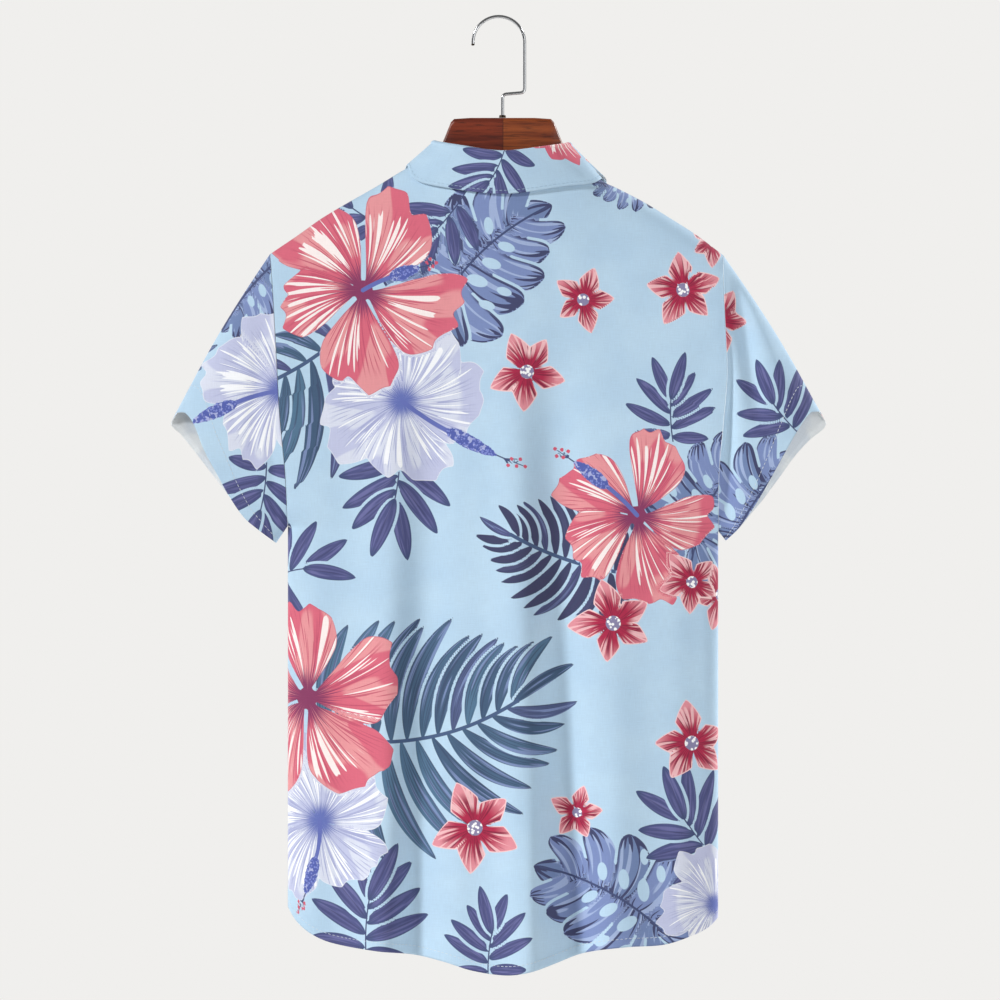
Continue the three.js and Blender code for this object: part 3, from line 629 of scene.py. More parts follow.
FLAT_LIMIT = 172.0
COLLAR: Table = (
    (-172, -8, 33, -164, -44, -236), (-140, -38, 28, -138, -77, -202), (-115, -56, 16, -120, -93, -166),
    (-90, -63.6, 2, -113.5, -89.5, -136.4), (-70, -59, -10, -114.5, -82.5, -149.5),
    (-45, -44, -20, -117.2, -60, -156.6), (0, 0, -27.5, -123.2, 0, -163.7), (45, 44, -20, -118.2, 60, -156.4),
    (70, 58, -10, -116, 84, -153.4), (90, 62, 2, -115.2, 96, -148.4), (115, 55, 16, -121, 95, -172),
    (140, 38, 28, -138, 78, -204), (172, 8, 33, -164, 45, -237),
)
LAST_TURN = 168.75
BAND_END_SHARE = 0.0037
UP = np.array([0, 0, 1.0])


def panel_grid(cut: PanelCut, shares: Array, rows: Array) -> Cut:
    """Grid of a body panel with a proud hem and slightly pinched seams.

    Args:
        cut: The panel's cut.
        shares: Shares of the half-width.
        rows: Shares of the way to the hem.

    Returns:
        The grid. Its plan is x and z as seen from the panel's face, and beyond FLAT_LIMIT the arc length.
    """
    row, share = np.meshgrid(rows, shares, indexing="ij")
    plain = cut.point(share, row)
    to_hem = plain[..., 2] - plain[-1, :, 2]
    proud = HEM_PROUD * (1 - ease(HEM_DEPTH - 1.2, HEM_DEPTH + 0.3, to_hem))
    to_seam = (1 - np.abs(share)) * LEFT.edge[0][1]
    high = 1 - ease(ARMHOLE_SHARE - 0.05, ARMHOLE_SHARE, row)
    proud = proud - SEAM_PINCH * np.exp(-to_seam / 2.2) * high
    points = cut.point(share, row, proud * ease(0, 0.012, 1 - np.abs(share)) + proud * high)
    x, z = points[..., 0], points[..., 2]
    step = np.diff(points[..., :2], axis=1, prepend=points[:, :1, :2])
    along = np.cumsum(np.hypot(step[..., 0], step[..., 1]), axis=1)
    centre = np.take_along_axis(along, np.abs(x).argmin(axis=1)[:, None], axis=1)
    arc = np.sign(x) * np.abs(along - centre)
    start = np.where(x < 0, _at_limit(x, arc, -FLAT_LIMIT), _at_limit(x, arc, FLAT_LIMIT))
    flat = np.where(np.abs(x) > FLAT_LIMIT, np.sign(x) * FLAT_LIMIT + arc - start, x)
    normals = cut.face * grid_normals(points)
    return Cut(points, normals, np.stack([-cut.face * flat, z], axis=-1))


def _at_limit(x: Array, arc: Array, limit: float) -> Array:
    """Arc length of each row where it comes nearest to x = limit, as a column."""
    return np.take_along_axis(arc, np.abs(x - limit).argmin(axis=1)[:, None], axis=1)


SLEEVE_CREASES = {
    (1, -1): (Crease((214, -228), (240, -380), -6.5, 9), Crease((228, -232), (264, -350), 3.0, 10),
              Crease((209, -290), (209, -492), -5.0, 8), Crease((214, -400), (252, -440), 1.2, 9)),
    (-1, -1): (Crease((-222, -250), (-232, -420), -1.8, 9), Crease((-214, -350), (-212, -486), -1.5, 6),
               Crease((-244, -262), (-276, -350), 1.4, 10)),
    (1, 1): (Crease((216, -250), (230, -430), -2.0, 9), Crease((240, -260), (262, -390), 1.4, 11)),
    (-1, 1): (Crease((-218, -240), (-236, -400), -2.4, 9), Crease((-236, -250), (-262, -370), 1.6, 11)),
}
CUFF_FULL = 17.0
CUFF_POWER = 3
CREASE_POWER = 6
SLEEVE_CROWN = 4.0


def dome(share: Array, power: float) -> Array:
    """A rounded rise over the shares from 0 to 1, flatter in the middle with a higher power."""
    return np.sqrt(np.maximum(0, 1 - np.abs(2 * share - 1) ** power))


def sleeve_grid(side: Side, around: int, rings: int) -> Cut:
    """Grid of a sleeve: straight shares of the way from its armhole to its cuff, with a crown.

    Args:
        side: The side of the garment.
        around: Points on each half of a ring.
        rings: How many rings.

    Returns:
        The closed grid. Its plan is x and z, and the front half is unfolded over the sleeve's top line.
    """
    half = spread(around, 0.12, 0.12, both=True)
    along = np.concatenate([half, half[::-1]])
    face = np.repeat([-1, 1], around)
    edge = np.full(2 * around, float(side.sign))
    seam = np.where(face[:, None] < 0, *(cut.point(edge, along * ARMHOLE_SHARE) for cut in (BACK, FRONT)))
    run = np.subtract(side.cuff_bottom, side.cuff_top)
    length = np.hypot(*run)
    out = np.where(face < 0, read(side.cuff, 1, along), read(side.cuff, 2, along))
    x = side.sign * (side.cuff_top[0] + run[0] * along - run[1] / length * out)
    z = side.cuff_top[1] + run[1] * along + run[0] / length * out
    full = CUFF_FULL * dome(along, CUFF_POWER)
    cuff = np.stack([x, BODY.middle(x) + face * (full + SEAM_GAP / 2), z], axis=-1)
    way = spread(rings, 0.5, 0.06, both=True)[:, None]
    points = seam + (cuff - seam) * way[..., None]
    points[..., 0] += side.sign * (SEAM_GAP + SLEEVE_CROWN * np.sin(np.pi * way) * (1 - along))
    inner = dome(along, CREASE_POWER)
    for which in (-1, 1):
        for crease in SLEEVE_CREASES[(side.sign, which)]:
            relief = crease_relief(crease, points[..., 0], points[..., 2])
            points[..., 1] += np.where(face == which, which * relief * inner * ease(0, 0.06, way), 0)
    shoulder = np.array(side.shoulder[-1])
    top = unit(np.subtract(side.cuff_top, shoulder))
    flat = np.stack([side.sign * points[..., 0], points[..., 2]], axis=-1)
    square = np.array([-top[1], top[0]])
    off = (flat - shoulder) @ square
    flat = np.where(face[:, None] < 0, flat, flat - 2 * off[..., None] * square)
    flat[..., 0] *= side.sign
    normals = grid_normals(points, closed=True)
    outward = np.sum(normals * (points - points.mean(axis=1, keepdims=True)), axis=(1, 2))
    normals *= np.sign(outward)[:, None, None]
    return Cut(points, normals, flat, closed=True)


def neck_ring(angle: Array) -> Array:
    """Neck seam at angles round the opening: 0 at the back, 90 at the sides, up to 172 at the front."""
    turn, sign = np.abs(angle), np.sign(angle)
    share = BODY.neck_share * np.sin(np.radians(np.where(turn <= 90, turn, 180 - turn)))
    before = BODY.neck_share * np.sin(np.radians(180 - LAST_TURN))
    end = np.interp(turn, [LAST_TURN, FLAT_LIMIT], [before, BAND_END_SHARE])
    share = sign * np.where(turn > LAST_TURN, end, share)
    none = np.zeros_like(share)
    on_front = np.where(sign[:, None] < 0, LAPPED.point(share, none), FRONT.point(share, none))
    return np.where(turn[:, None] < 90, BACK.point(share, none), on_front)


def roll_at(angle: Array) -> tuple[Array, Array]:
    """Top of the collar's roll at each angle, and the level direction away from the neck."""
    top = np.stack([read(COLLAR, k, angle) for k in (1, 2, 3)], axis=-1)
    run = np.stack([read(COLLAR, k, angle + 2) - read(COLLAR, k, angle - 2) for k in (1, 2)], axis=-1)
    return top, unit(np.stack([run[:, 1], -run[:, 0], np.zeros(len(angle))], axis=-1))


ROLL_RADIUS = 3.2
FALL_CLEAR = 2.7


def clear_of_body(x: Array, z: Array, angle: Array) -> Array:
    """Depth at which the collar's fall clears the panel under it."""
    face = np.sign(np.round(np.abs(angle) - 90))
    lap = np.where((face > 0) & (x < FRONT_LAP), LAP_STEP, 0)
    away = (FALL_CLEAR + lap) * ease(0, 2 * FALL_CLEAR, BODY.crest(x) + FALL_CLEAR - z)
    depths = (BODY.half_depth(x, z - FALL_CLEAR, folds) for folds in (BACK_FOLDS, FRONT_FOLDS))
    depth = np.where(face < 0, *depths)
    return BODY.middle(x) + face * (depth + away)


def stand_grid(angle: Array, steps: int) -> Cut:
    """Grid of the collar stand: straight from the neck seam up to just under the roll."""
    top, out = roll_at(angle)
    low = neck_ring(angle) + SEAM_GAP * UP
    high = top + (1.4 - ROLL_RADIUS) * out - (ROLL_RADIUS + 3 * SEAM_GAP) * UP
    way = np.linspace(0, 1, steps)[:, None, None]
    points = low + (high - low) * way
    plan = np.stack(np.broadcast_arrays(_run(points[-1])[None], points[..., 2]), axis=-1)
    return Cut(points, np.broadcast_to(out, points.shape), plan)


def fall_grid(angle: Array, roll_steps: int, fall_steps: int) -> Cut:
    """Grid of the collar fall: a half circle over the roll, then straight to its free edge.

    Args:
        angle: Angles round the neck.
        roll_steps: Steps round the half circle.
        fall_steps: Steps from there to the edge.

    Returns:
        The grid. Its plan is the length of the edge from the middle of the back, and the way down.
    """
    top, out = roll_at(angle)
    centre = top - ROLL_RADIUS * UP
    turn = np.pi * (1 - np.arange(roll_steps + 1) / roll_steps)[:, None, None]
    roll = centre + ROLL_RADIUS * (np.cos(turn) * out + np.sin(turn) * UP)
    under = (centre - ROLL_RADIUS * out - SEAM_GAP * UP)[None]
    x, z = read(COLLAR, 4, angle), read(COLLAR, 5, angle)
    edge = np.stack([x, clear_of_body(x, z, angle), z], axis=-1)
    way = (np.arange(1, fall_steps + 1) / fall_steps)[:, None, None]
    fall = roll[-1] + (edge - roll[-1]) * way
    face = np.sign(np.round(np.abs(angle) - 90))
    clear = clear_of_body(fall[..., 0], fall[..., 2], np.broadcast_to(angle, fall.shape[:2]))
    swell = 1.1 * np.sin(np.pi * np.minimum(1, way[..., 0] * 1.15)) ** 2
    fall[..., 1] = np.where(face < 0, np.minimum(fall[..., 1] - swell, clear),
                            np.maximum(fall[..., 1] + swell * face, clear * face))
    points = np.concatenate([under, roll, fall])
    down = np.linalg.norm(np.diff(points, axis=0, prepend=points[:1]), axis=-1).cumsum(axis=0)
    height = top[len(angle) // 2, 2] - (down - down[1 + roll_steps // 2])
    plan = np.stack(np.broadcast_arrays(_run(points[-1])[None], height), axis=-1)
    normals = grid_normals(points)
    normals *= -np.sign(normals[-1, len(angle) // 2, 1])
    return Cut(points, normals, plan)


def _run(line: Array) -> Array:
    """Length along a line of points, counted from the one nearest to the middle of the back."""
    run = np.concatenate([[0], np.linalg.norm(np.diff(line, axis=0), axis=-1).cumsum()])
    return run - run[len(run) // 2]


# Print: motifs as signed distances in millimetres, negative inside, on the flat cloth

class Dye(Enum):
    """Kinds of ink, in the order in which the shader lays them."""

    PALM = 0
    LEAF = 1
    MONSTERA = 2
    SMALL = 3
    WHITE = 4
    CORAL = 5
    STAMEN = 6
    BEAD = 7
    HEART = 8


# Millimetres: the limit of a distance and how far round a motif it is worked out, how much an ink goes on
# under the one over it, how far out coordinates are written, and the slit between leaves.
FAR = 10.0
MARGIN = 12
TRAP = 0.4
COORD_REACH = 1.5
SLIT = 2.7
SLIT_DYES = (Dye.PALM, Dye.LEAF, Dye.MONSTERA)
PETAL_TURN = 72
PETAL_SWIRL = 0.18


def chance(seed: float, number: float) -> float:
    """A fixed value from 0 to 1 for a seed and a number: the fraction of a large sine."""
    return (math.sin(seed * 12.9898 + number * 78.233) * 43758.5453) % 1.0


def beyond(share: Array, length: float) -> Array:
    """Distance past either end of a line, from the share of its length."""
    return np.maximum(np.maximum(-share, share - 1), 0) * length


def tongue(share: Array, off: Array, width: Array, length: float) -> Array:
    """Distance to a shape of a half width along a line, which is cut off square at its ends."""
    past, over = beyond(share, length), np.abs(off) - width
    return np.hypot(np.maximum(over, 0), past) + np.minimum(over, 0) * (past == 0)


def smooth_max(a: Array, b: Array, blend: float) -> Array:
    """The larger of two fields, with a parabola where they are closer than the blend."""
    close = np.maximum(blend - np.abs(a - b), 0) / blend
    return np.maximum(a, b) + close * close * blend / 4


@dataclass
class PrintField:
    """Inks on the points of one piece.

    inks holds a distance for each dye. petal, blade and line hold coordinates that run with the motifs.
    """

    plan: Array

    def __post_init__(self) -> None:
        """Starts with no ink anywhere."""
        self.plan = self.plan.reshape(-1, 2)
        count = len(self.plan)
        self.inks = np.full((len(Dye), count), FAR)
        self.petal = np.zeros((count, 3))
        self.blade = np.zeros((count, 3))
        self.line = np.full((count, 3), FAR)

    def near(self, centre: Array, radius: float) -> Array:
        """Indices of the points in a square round a centre."""
        return np.flatnonzero(np.all(np.abs(self.plan - centre) < radius, axis=1))

    def lay(self, where: Array, dye: Dye, distance: Array) -> None:
        """Lays a shape over what is there: it cuts every dye, and leaves a slit round it in its own."""
        slit = SLIT if dye in SLIT_DYES else 0
        own = np.minimum(np.maximum(self.inks[dye.value, where], slit - distance), distance)
        self.inks[:, where] = np.maximum(self.inks[:, where], -distance - TRAP)
        self.line[where[distance < 0]] = FAR
        self.inks[dye.value, where] = np.clip(own, -FAR, FAR)

    def cut(self, where: Array, dye: Dye, distance: Array) -> None:
        """Cuts a hole in one dye."""
        self.inks[dye.value, where] = np.maximum(self.inks[dye.value, where], -distance)

    def blend(self, where: Array, dye: Dye, distance: Array) -> None:
        """Joins a shape to its own dye without a slit."""
        inks = self.inks[dye.value]
        inks[where] = np.minimum(inks[where], distance)

    def guide(self, which: Array, where: Array, distance: Array, *values: Array) -> None:
        """Writes coordinates on the points in and just round a shape."""
        inside = distance < COORD_REACH
        which[where[inside]] = np.stack([np.broadcast_to(v, distance.shape)[inside] for v in values], axis=-1)

    def stroke(self, start: Array, end: Array, half: float, bend: float = 0) -> None:
        """Draws a thin line: its signed offset, its plain distance and its half width.

        Args:
            start: One end.
            end: The other end.
            half: Half its width.
            bend: Height of its parabola, as a share of its length.
        """
        frame = Frame.between(start, end, bend)
        where = self.near(np.add(start, end) / 2, frame.length / 2 + MARGIN)
        share, off = frame.locate(self.plan[where])
        distance = np.hypot(off, beyond(share, frame.length))
        closer = distance < self.line[where, 1]
        values = np.stack([np.clip(off, -FAR, FAR), distance, np.full(len(off), half)], axis=-1)
        self.line[where[closer]] = values[closer]

    def marks(self) -> dict[str, Array]:
        """Attributes for the mesh, three values each."""
        groups = {f"ink_{k}": np.stack(self.inks[3 * k: 3 * k + 3], axis=-1) for k in range(3)}
        return {**groups, "petal": self.petal, "blade": self.blade, "line": self.line}


@dataclass(frozen=True)
class Frame:
    """A local frame along a slightly bent line."""

    start: Array
    along: Array
    length: float
    bend: float

    @classmethod
    def between(cls, start: Array, end: Array, bend: float = 0) -> "Frame":
        """A frame from one point to another."""
        run = np.subtract(end, start)
        length = float(np.hypot(*run))
        return cls(np.asarray(start, float), run / length, length, bend)

    @classmethod
    def towards(cls, start: Array, degrees: float, length: float, bend: float = 0) -> "Frame":
        """A frame from a point in a direction."""
        turn = math.radians(degrees)
        return cls(np.asarray(start, float), np.array([math.cos(turn), math.sin(turn)]), length, bend)

    def locate(self, points: Array) -> tuple[Array, Array]:
        """Share of the length and signed offset from the parabola 4 b u (1 - u), square to it."""
        rest = points - self.start
        share = rest @ self.along / self.length
        off = rest @ self.across
        inside = np.clip(share, 0, 1)
        curve = 4 * self.bend * self.length * inside * (1 - inside)
        slope = 4 * self.bend * (1 - 2 * inside)
        return share, (off - curve) / np.sqrt(1 + slope ** 2)

    def point(self, share: float, off: float = 0) -> Array:
        """Point at a share of the length and an offset to the left."""
        curve = 4 * self.bend * self.length * share * (1 - share)
        return self.start + self.along * share * self.length + self.across * (curve + off)

    @property
    def across(self) -> Array:
        """Direction to the left of the frame."""
        return np.array([-self.along[1], self.along[0]])

    @property
    def degrees(self) -> float:
        """Direction of the frame."""
        return math.degrees(math.atan2(self.along[1], self.along[0]))

    def turn_at(self, share: float) -> float:
        """Direction of the parabola at a share of the length, in degrees."""
        return self.degrees + math.degrees(math.atan(4 * self.bend * (1 - 2 * share)))


def paint_blade(field: PrintField, frame: Frame, dye: Dye, half: float, seed: float,
                widest: float = 0.45, power: float = 0.8, base: float = 0) -> None:
    """Paints a pointed leaf. Its half width is half (4 v (1 - v))^power, where v bends the share to widest.

    Args:
        field: The print.
        frame: The leaf's line from its foot to its tip.
        dye: Its ink.
        half: Its greatest half width.
        seed: Its own number from 0 to 1.
        widest: Share of the length where it is widest.
        power: Above 1 for long thin tips.
        base: Half width at its foot.
    """
    reach = frame.length * 0.5 + half + abs(frame.bend) * frame.length + MARGIN
    where = field.near(frame.point(0.5), reach)
    share, off = frame.locate(field.plan[where])
    inside = np.clip(share, 0, 1)
    skew = inside ** (math.log(0.5) / math.log(widest))
    width = half * (4 * skew * (1 - skew)) ** power + base * (1 - inside) ** 3
    distance = tongue(share, off, width, frame.length)
    field.lay(where, dye, distance)
    across = np.clip(off / np.maximum(width, 0.6), -1.6, 1.6)
    field.guide(field.blade, where, distance, across, share, seed)


def petal_place(rest: Array, radius: float, start: float) -> tuple[Array, Array]:
    """Place in a flower, the same for all its petals.

    Args:
        rest: Points from the flower's centre.
        radius: Its radius.
        start: Direction in degrees where the turn starts, between two petals.

    Returns:
        The turn round the centre, which swirls outwards, with 3.2 to a petal, and the share of the radius.
    """
    away = np.hypot(*rest.T) / radius
    turn = np.arctan2(rest[:, 1], rest[:, 0]) - math.radians(start) - PETAL_SWIRL * away
    return np.mod(turn, math.tau) * 16 / math.tau, away


@dataclass(frozen=True)
class Hibiscus:
    """A big flower of five ruffled petals in a pinwheel, with a long stamen."""

    x: float
    z: float
    radius: float
    turn: float
    dye: Dye
    seed: float
    stamen: Optional[tuple[float, float]] = None
    stamen_bend: float = 0.04

    @property
    def spread(self) -> float:
        """The share of the way out at which the petals get broad: white flowers are fuller."""
        return 0.4 if self.dye is Dye.WHITE else 0.56

    def paint(self, field: PrintField) -> None:
        """Paints the petals in turn, each over the last, then the stamen."""
        for k in range(5):
            self._petal(field, k)
        centre = np.array([self.x, self.z])
        where = field.near(centre, 0.3 * self.radius)
        rest = field.plan[where] - centre
        around, away = petal_place(rest, self.radius, self.turn - PETAL_TURN / 2)
        distance = (away - 0.11) * self.radius
        field.blend(where, self.dye, distance)
        field.guide(field.petal, where, distance + 2, around + 31 * self.seed, away, distance - 3)
        if self.stamen:
            self._stamen(field)

    def _petal(self, field: PrintField, k: int) -> None:
        """One petal: it widens as 1 - exp(-(u / spread)^1.45) and ends in a ruffled cap."""
        length = self.radius * (0.9 + 0.22 * chance(self.seed, k))
        degrees = self.turn + PETAL_TURN * k + 16 * (chance(self.seed, k + 10) - 0.5)
        frame = Frame.towards((self.x, self.z), degrees, length)
        where = field.near(frame.start, self.radius * 1.25)
        rest = field.plan[where] - frame.start
        share = rest @ frame.along / length
        swing = (0.12 + 0.12 * chance(self.seed, k + 20)) * length
        off = rest @ frame.across - swing * share ** 2
        u = np.clip(share, 0, 1.15)
        swell = 0.56 * (0.9 + 0.26 * chance(self.seed, k + 30))
        width = swell * length * (1 - np.exp(-((u / self.spread) ** 1.45)))
        across = off / np.maximum(width, 1.0)
        wave = 0.03 * np.sin(7 * across + 9 * self.seed + 2 * k)
        wave = wave + 0.05 * np.abs(np.sin(6.5 * across + 5 * k))
        notch = 0.07 * np.exp(-(((across - 0.3 + 0.6 * chance(self.seed, k + 40)) / 0.14) ** 2))
        cap = length * (share + 0.24 * across ** 2 + wave + notch - 1.04)
        sides = np.abs(off) - width + 0.6 * np.sin(0.3 * rest[:, 0] + k) * u
        distance = np.maximum(smooth_max(sides, cap, 0.2 * length), -share * length)
        field.lay(where, self.dye, distance)
        around, away = petal_place(rest, self.radius, self.turn - PETAL_TURN / 2)
        inside = np.clip(distance, -FAR, FAR)
        field.guide(field.petal, where, distance, around + 31 * self.seed, away, inside)

    def _stamen(self, field: PrintField) -> None:
        """A tapering tube, a long knobbly head and beads at the tip."""
        frame = Frame.between((self.x, self.z), self.stamen, self.stamen_bend)
        where = field.near(frame.point(0.5), frame.length * 0.5 + 14)
        share, off = frame.locate(field.plan[where])
        head_at = (share - 0.62) / 0.22
        head = 6.4 * np.sqrt(np.maximum(0, 1 - head_at ** 2)) * (1 - 0.25 * head_at)
        distance = np.maximum(np.abs(off) - head, (np.abs(head_at) - 1) * 0.22 * frame.length)
        field.lay(where, Dye.STAMEN, distance)
        field.guide(field.blade, where, distance, off, share, 1.0)
        field.stroke(frame.start, frame.point(0.5), STAMEN_HALF, self.stamen_bend)
        field.stroke(frame.point(0.8), frame.point(0.94), 0.6)
        for k in range(5):
            spot = frame.point(0.95 + 0.06 * (k % 3), (k - 2) * 2.3 + 1.5 * (chance(self.seed, k + 50) - 0.5))
            field.stroke(frame.point(0.9), spot, 0.4)
            near = field.near(spot, MARGIN)
            away = np.hypot(*(field.plan[near] - spot).T) - 1.9
            field.lay(near, Dye.BEAD, away)


@dataclass(frozen=True)
class SmallFlower:
    """A small flower of five pointed petals with a dotted heart."""

    x: float
    z: float
    radius: float
    turn: float
    seed: float
    squash: float = 0.85

    def paint(self, field: PrintField) -> None:
        """Paints five petals, narrower at the tip, then the heart."""
        centre = np.array([self.x, self.z])
        where = field.near(centre, self.radius * 1.3)
        for k in range(5):
            length = self.radius * (0.94 + 0.26 * chance(self.seed, k)) * (1 if k % 2 else self.squash + 0.1)
            degrees = self.turn + PETAL_TURN * k + 10 * (chance(self.seed, k + 5) - 0.5)
            frame = Frame.towards(centre, degrees, length)
            rest = field.plan[where] - centre
            share = rest @ frame.along / length
            swing = 0.3 * (chance(self.seed, k + 9) - 0.4) * length
            off = rest @ frame.across - swing * share ** 2
            u = np.clip(share, 0, 1)
            taper = np.clip((1 - u) / 0.48, 0, 1)
            rise = np.where(u < 0.52, (u / 0.52) ** 0.85, taper ** 0.85 * (1.25 - 0.25 * taper))
            width = 0.32 * length * rise
            distance = tongue(share, off, width, length)
            field.lay(where, Dye.SMALL, distance)
            around, away = petal_place(rest, self.radius, self.turn - PETAL_TURN / 2)
            inside = np.clip(distance, -FAR, FAR)
            field.guide(field.petal, where, distance, around + 17 * self.seed, away, inside)
        heart = np.hypot(*(field.plan[where] - centre).T) - 0.19 * self.radius
        field.lay(where, Dye.HEART, heart)


STAMEN_HALF = 2.1
RACHIS_HALF = 1.7
SPRAY_LEAVES = (
    (0.0, 84, 0.92), (-0.04, -96, 0.8), (0.3, 60, 1.1), (0.2, -66, 1.15), (0.52, -55, 1.2),
    (0.62, 42, 1.08), (0.82, -40, 1.05), (1.0, 18, 1.05), (1.0, -19, 1.12),
)


@dataclass(frozen=True)
class Spray:
    """A stem with pointed leaves in a fan."""

    x: float
    z: float
    turn: float
    size: float
    seed: float
    mirror: bool = False
    skip: tuple[int, ...] = ()

    def paint(self, field: PrintField) -> None:
        """Paints the leaves, then the stem over their feet as a thin line."""
        stem = Frame.towards((self.x, self.z), self.turn, 33 * self.size, 0.03)
        side = -1 if self.mirror else 1
        for k, (share, degrees, length) in enumerate(SPRAY_LEAVES):
            if k in self.skip:
                continue
            turn = self.turn + side * degrees + 8 * (chance(self.seed, k) - 0.5)
            foot = stem.point(share)
            long = 40 * self.size * length * (0.92 + 0.16 * chance(self.seed, k + 20))
            leaf = Frame.towards(foot, turn, long, 0.05 * (chance(self.seed, k + 40) - 0.5))
            paint_blade(field, leaf, Dye.LEAF, 5.8 * self.size, chance(self.seed, k + 60), 0.46, 0.72)
        field.stroke(stem.point(-0.12), stem.point(1.06), 0.6, 0.03)


@dataclass(frozen=True)
class Palm:
    """A frond: a bent rachis with long curved leaflets on both sides."""

    start: tuple[float, float]
    end: tuple[float, float]
    bend: float
    leaflet: float
    half: float
    count: int
    seed: float
    tone: float = 0
    sides: tuple[int, ...] = (1, -1)
    fan: tuple[float, float] = (74, 20)

    def paint(self, field: PrintField) -> None:
        """Paints leaflets whose angle closes and whose length shrinks towards the tip, then the rachis."""
        rachis = Frame.between(self.start, self.end, self.bend)
        for k in range(self.count):
            share = (k + 0.4) / self.count
            wide = self.fan[0] + (self.fan[1] - self.fan[0]) * share
            for side in self.sides:
                turn = rachis.turn_at(share) + side * (wide + 7 * (chance(self.seed, k + 3 * side) - 0.5))
                swell = 0.78 + 0.34 * math.sin(math.pi * min(1, share + 0.12))
                long = self.leaflet * swell * (0.96 + 0.12 * chance(self.seed, k + 40 + side))
                long = long * (1 - 0.22 * share)
                leaf = Frame.towards(rachis.point(share + 0.015 * side), turn, long, 0.1 * side)
                tone = self.tone + 0.45 * chance(self.seed, k + 70 + 2 * side)
                paint_blade(field, leaf, Dye.PALM, self.half * (1 - 0.35 * share), tone, 0.5, 0.8, 0.6)
        tip = Frame.towards(rachis.point(0.97), rachis.turn_at(1), self.leaflet * 0.62, 0.05)
        paint_blade(field, tip, Dye.PALM, self.half * 0.62, self.tone, 0.5, 0.8)
        field.stroke(self.start, self.end, RACHIS_HALF, self.bend)


MONSTERA_LOBES = (
    (0.02, 130, 0.44, 0.12), (0.05, 100, 0.53, 0.13), (0.2, 82, 0.52, 0.125), (0.36, 68, 0.48, 0.115),
    (0.52, 54, 0.43, 0.1), (0.68, 38, 0.36, 0.085),
)
MONSTERA_HOLES = (
    (0.2, 0.13, 0.042), (0.36, 0.12, 0.038), (0.52, 0.1, 0.034), (0.3, 0.33, 0.03), (0.14, 0.3, 0.032),
)
HOLE_STRETCH = 1.9


@dataclass(frozen=True)
class Monstera:
    """A split leaf: pointed lobes from a midrib, joined near it, with oval holes."""

    start: tuple[float, float]
    end: tuple[float, float]
    seed: float
    bend: float = 0.08
    sides: tuple[int, ...] = (1, -1)

    def paint(self, field: PrintField) -> None:
        """Paints the lobes from the tip down, the middle, the holes and the midrib."""
        rib = Frame.between(self.start, self.end, self.bend)
        tip = Frame.between(rib.point(0.6), self.end, 0.04)
        paint_blade(field, tip, Dye.MONSTERA, 0.12 * rib.length, 0.4 + self.seed % 0.3, 0.4, 0.7, 2)
        for share, degrees, reach, half in reversed(MONSTERA_LOBES):
            for side in self.sides:
                number = 10 * share + side
                turn = rib.turn_at(share) + side * degrees + 8 * (chance(self.seed, number) - 0.5)
                long = rib.length * reach * (0.92 + 0.18 * chance(self.seed, number + 7))
                lobe = Frame.towards(rib.point(share), turn, long, 0.13 * side)
                tone = chance(self.seed, number + 3)
                paint_blade(field, lobe, Dye.MONSTERA, half * rib.length, tone, 0.58, 0.55, 0.05 * rib.length)
        self._core(field, Frame.between(rib.point(-0.02), rib.point(0.9), self.bend))
        for share, out, size in MONSTERA_HOLES:
            for side in self.sides:
                self._hole(field, rib, share, side * out, size * rib.length, side)
        field.stroke(rib.point(-0.16), rib.point(0.95), 1.0, self.bend)

    def _core(self, field: PrintField, core: Frame) -> None:
        """The middle of the leaf round its midrib, which keeps the lobes' own coordinates."""
        where = field.near(core.point(0.5), core.length)
        share, off = core.locate(field.plan[where])
        u = np.clip(share, 0, 1)
        width = 0.2 * core.length * (4 * u ** 0.8 * (1 - u ** 0.8)) ** 0.6
        distance = np.maximum(np.abs(off) - width, np.maximum(-share, share - 1) * core.length)
        field.blend(where, Dye.MONSTERA, distance)

    def _hole(self, field: PrintField, rib: Frame, share: float, out: float, size: float, side: int) -> None:
        """An oval hole that points away from the midrib."""
        centre = rib.point(share + 0.03, out * rib.length)
        frame = Frame.towards(centre, rib.degrees + side * 58, 1)
        where = field.near(centre, 3 * size + 10)
        along, off = frame.locate(field.plan[where])
        field.cut(where, Dye.MONSTERA, np.hypot(along / HOLE_STRETCH, off) - size)


Motif = Hibiscus | SmallFlower | Spray | Palm | Monstera

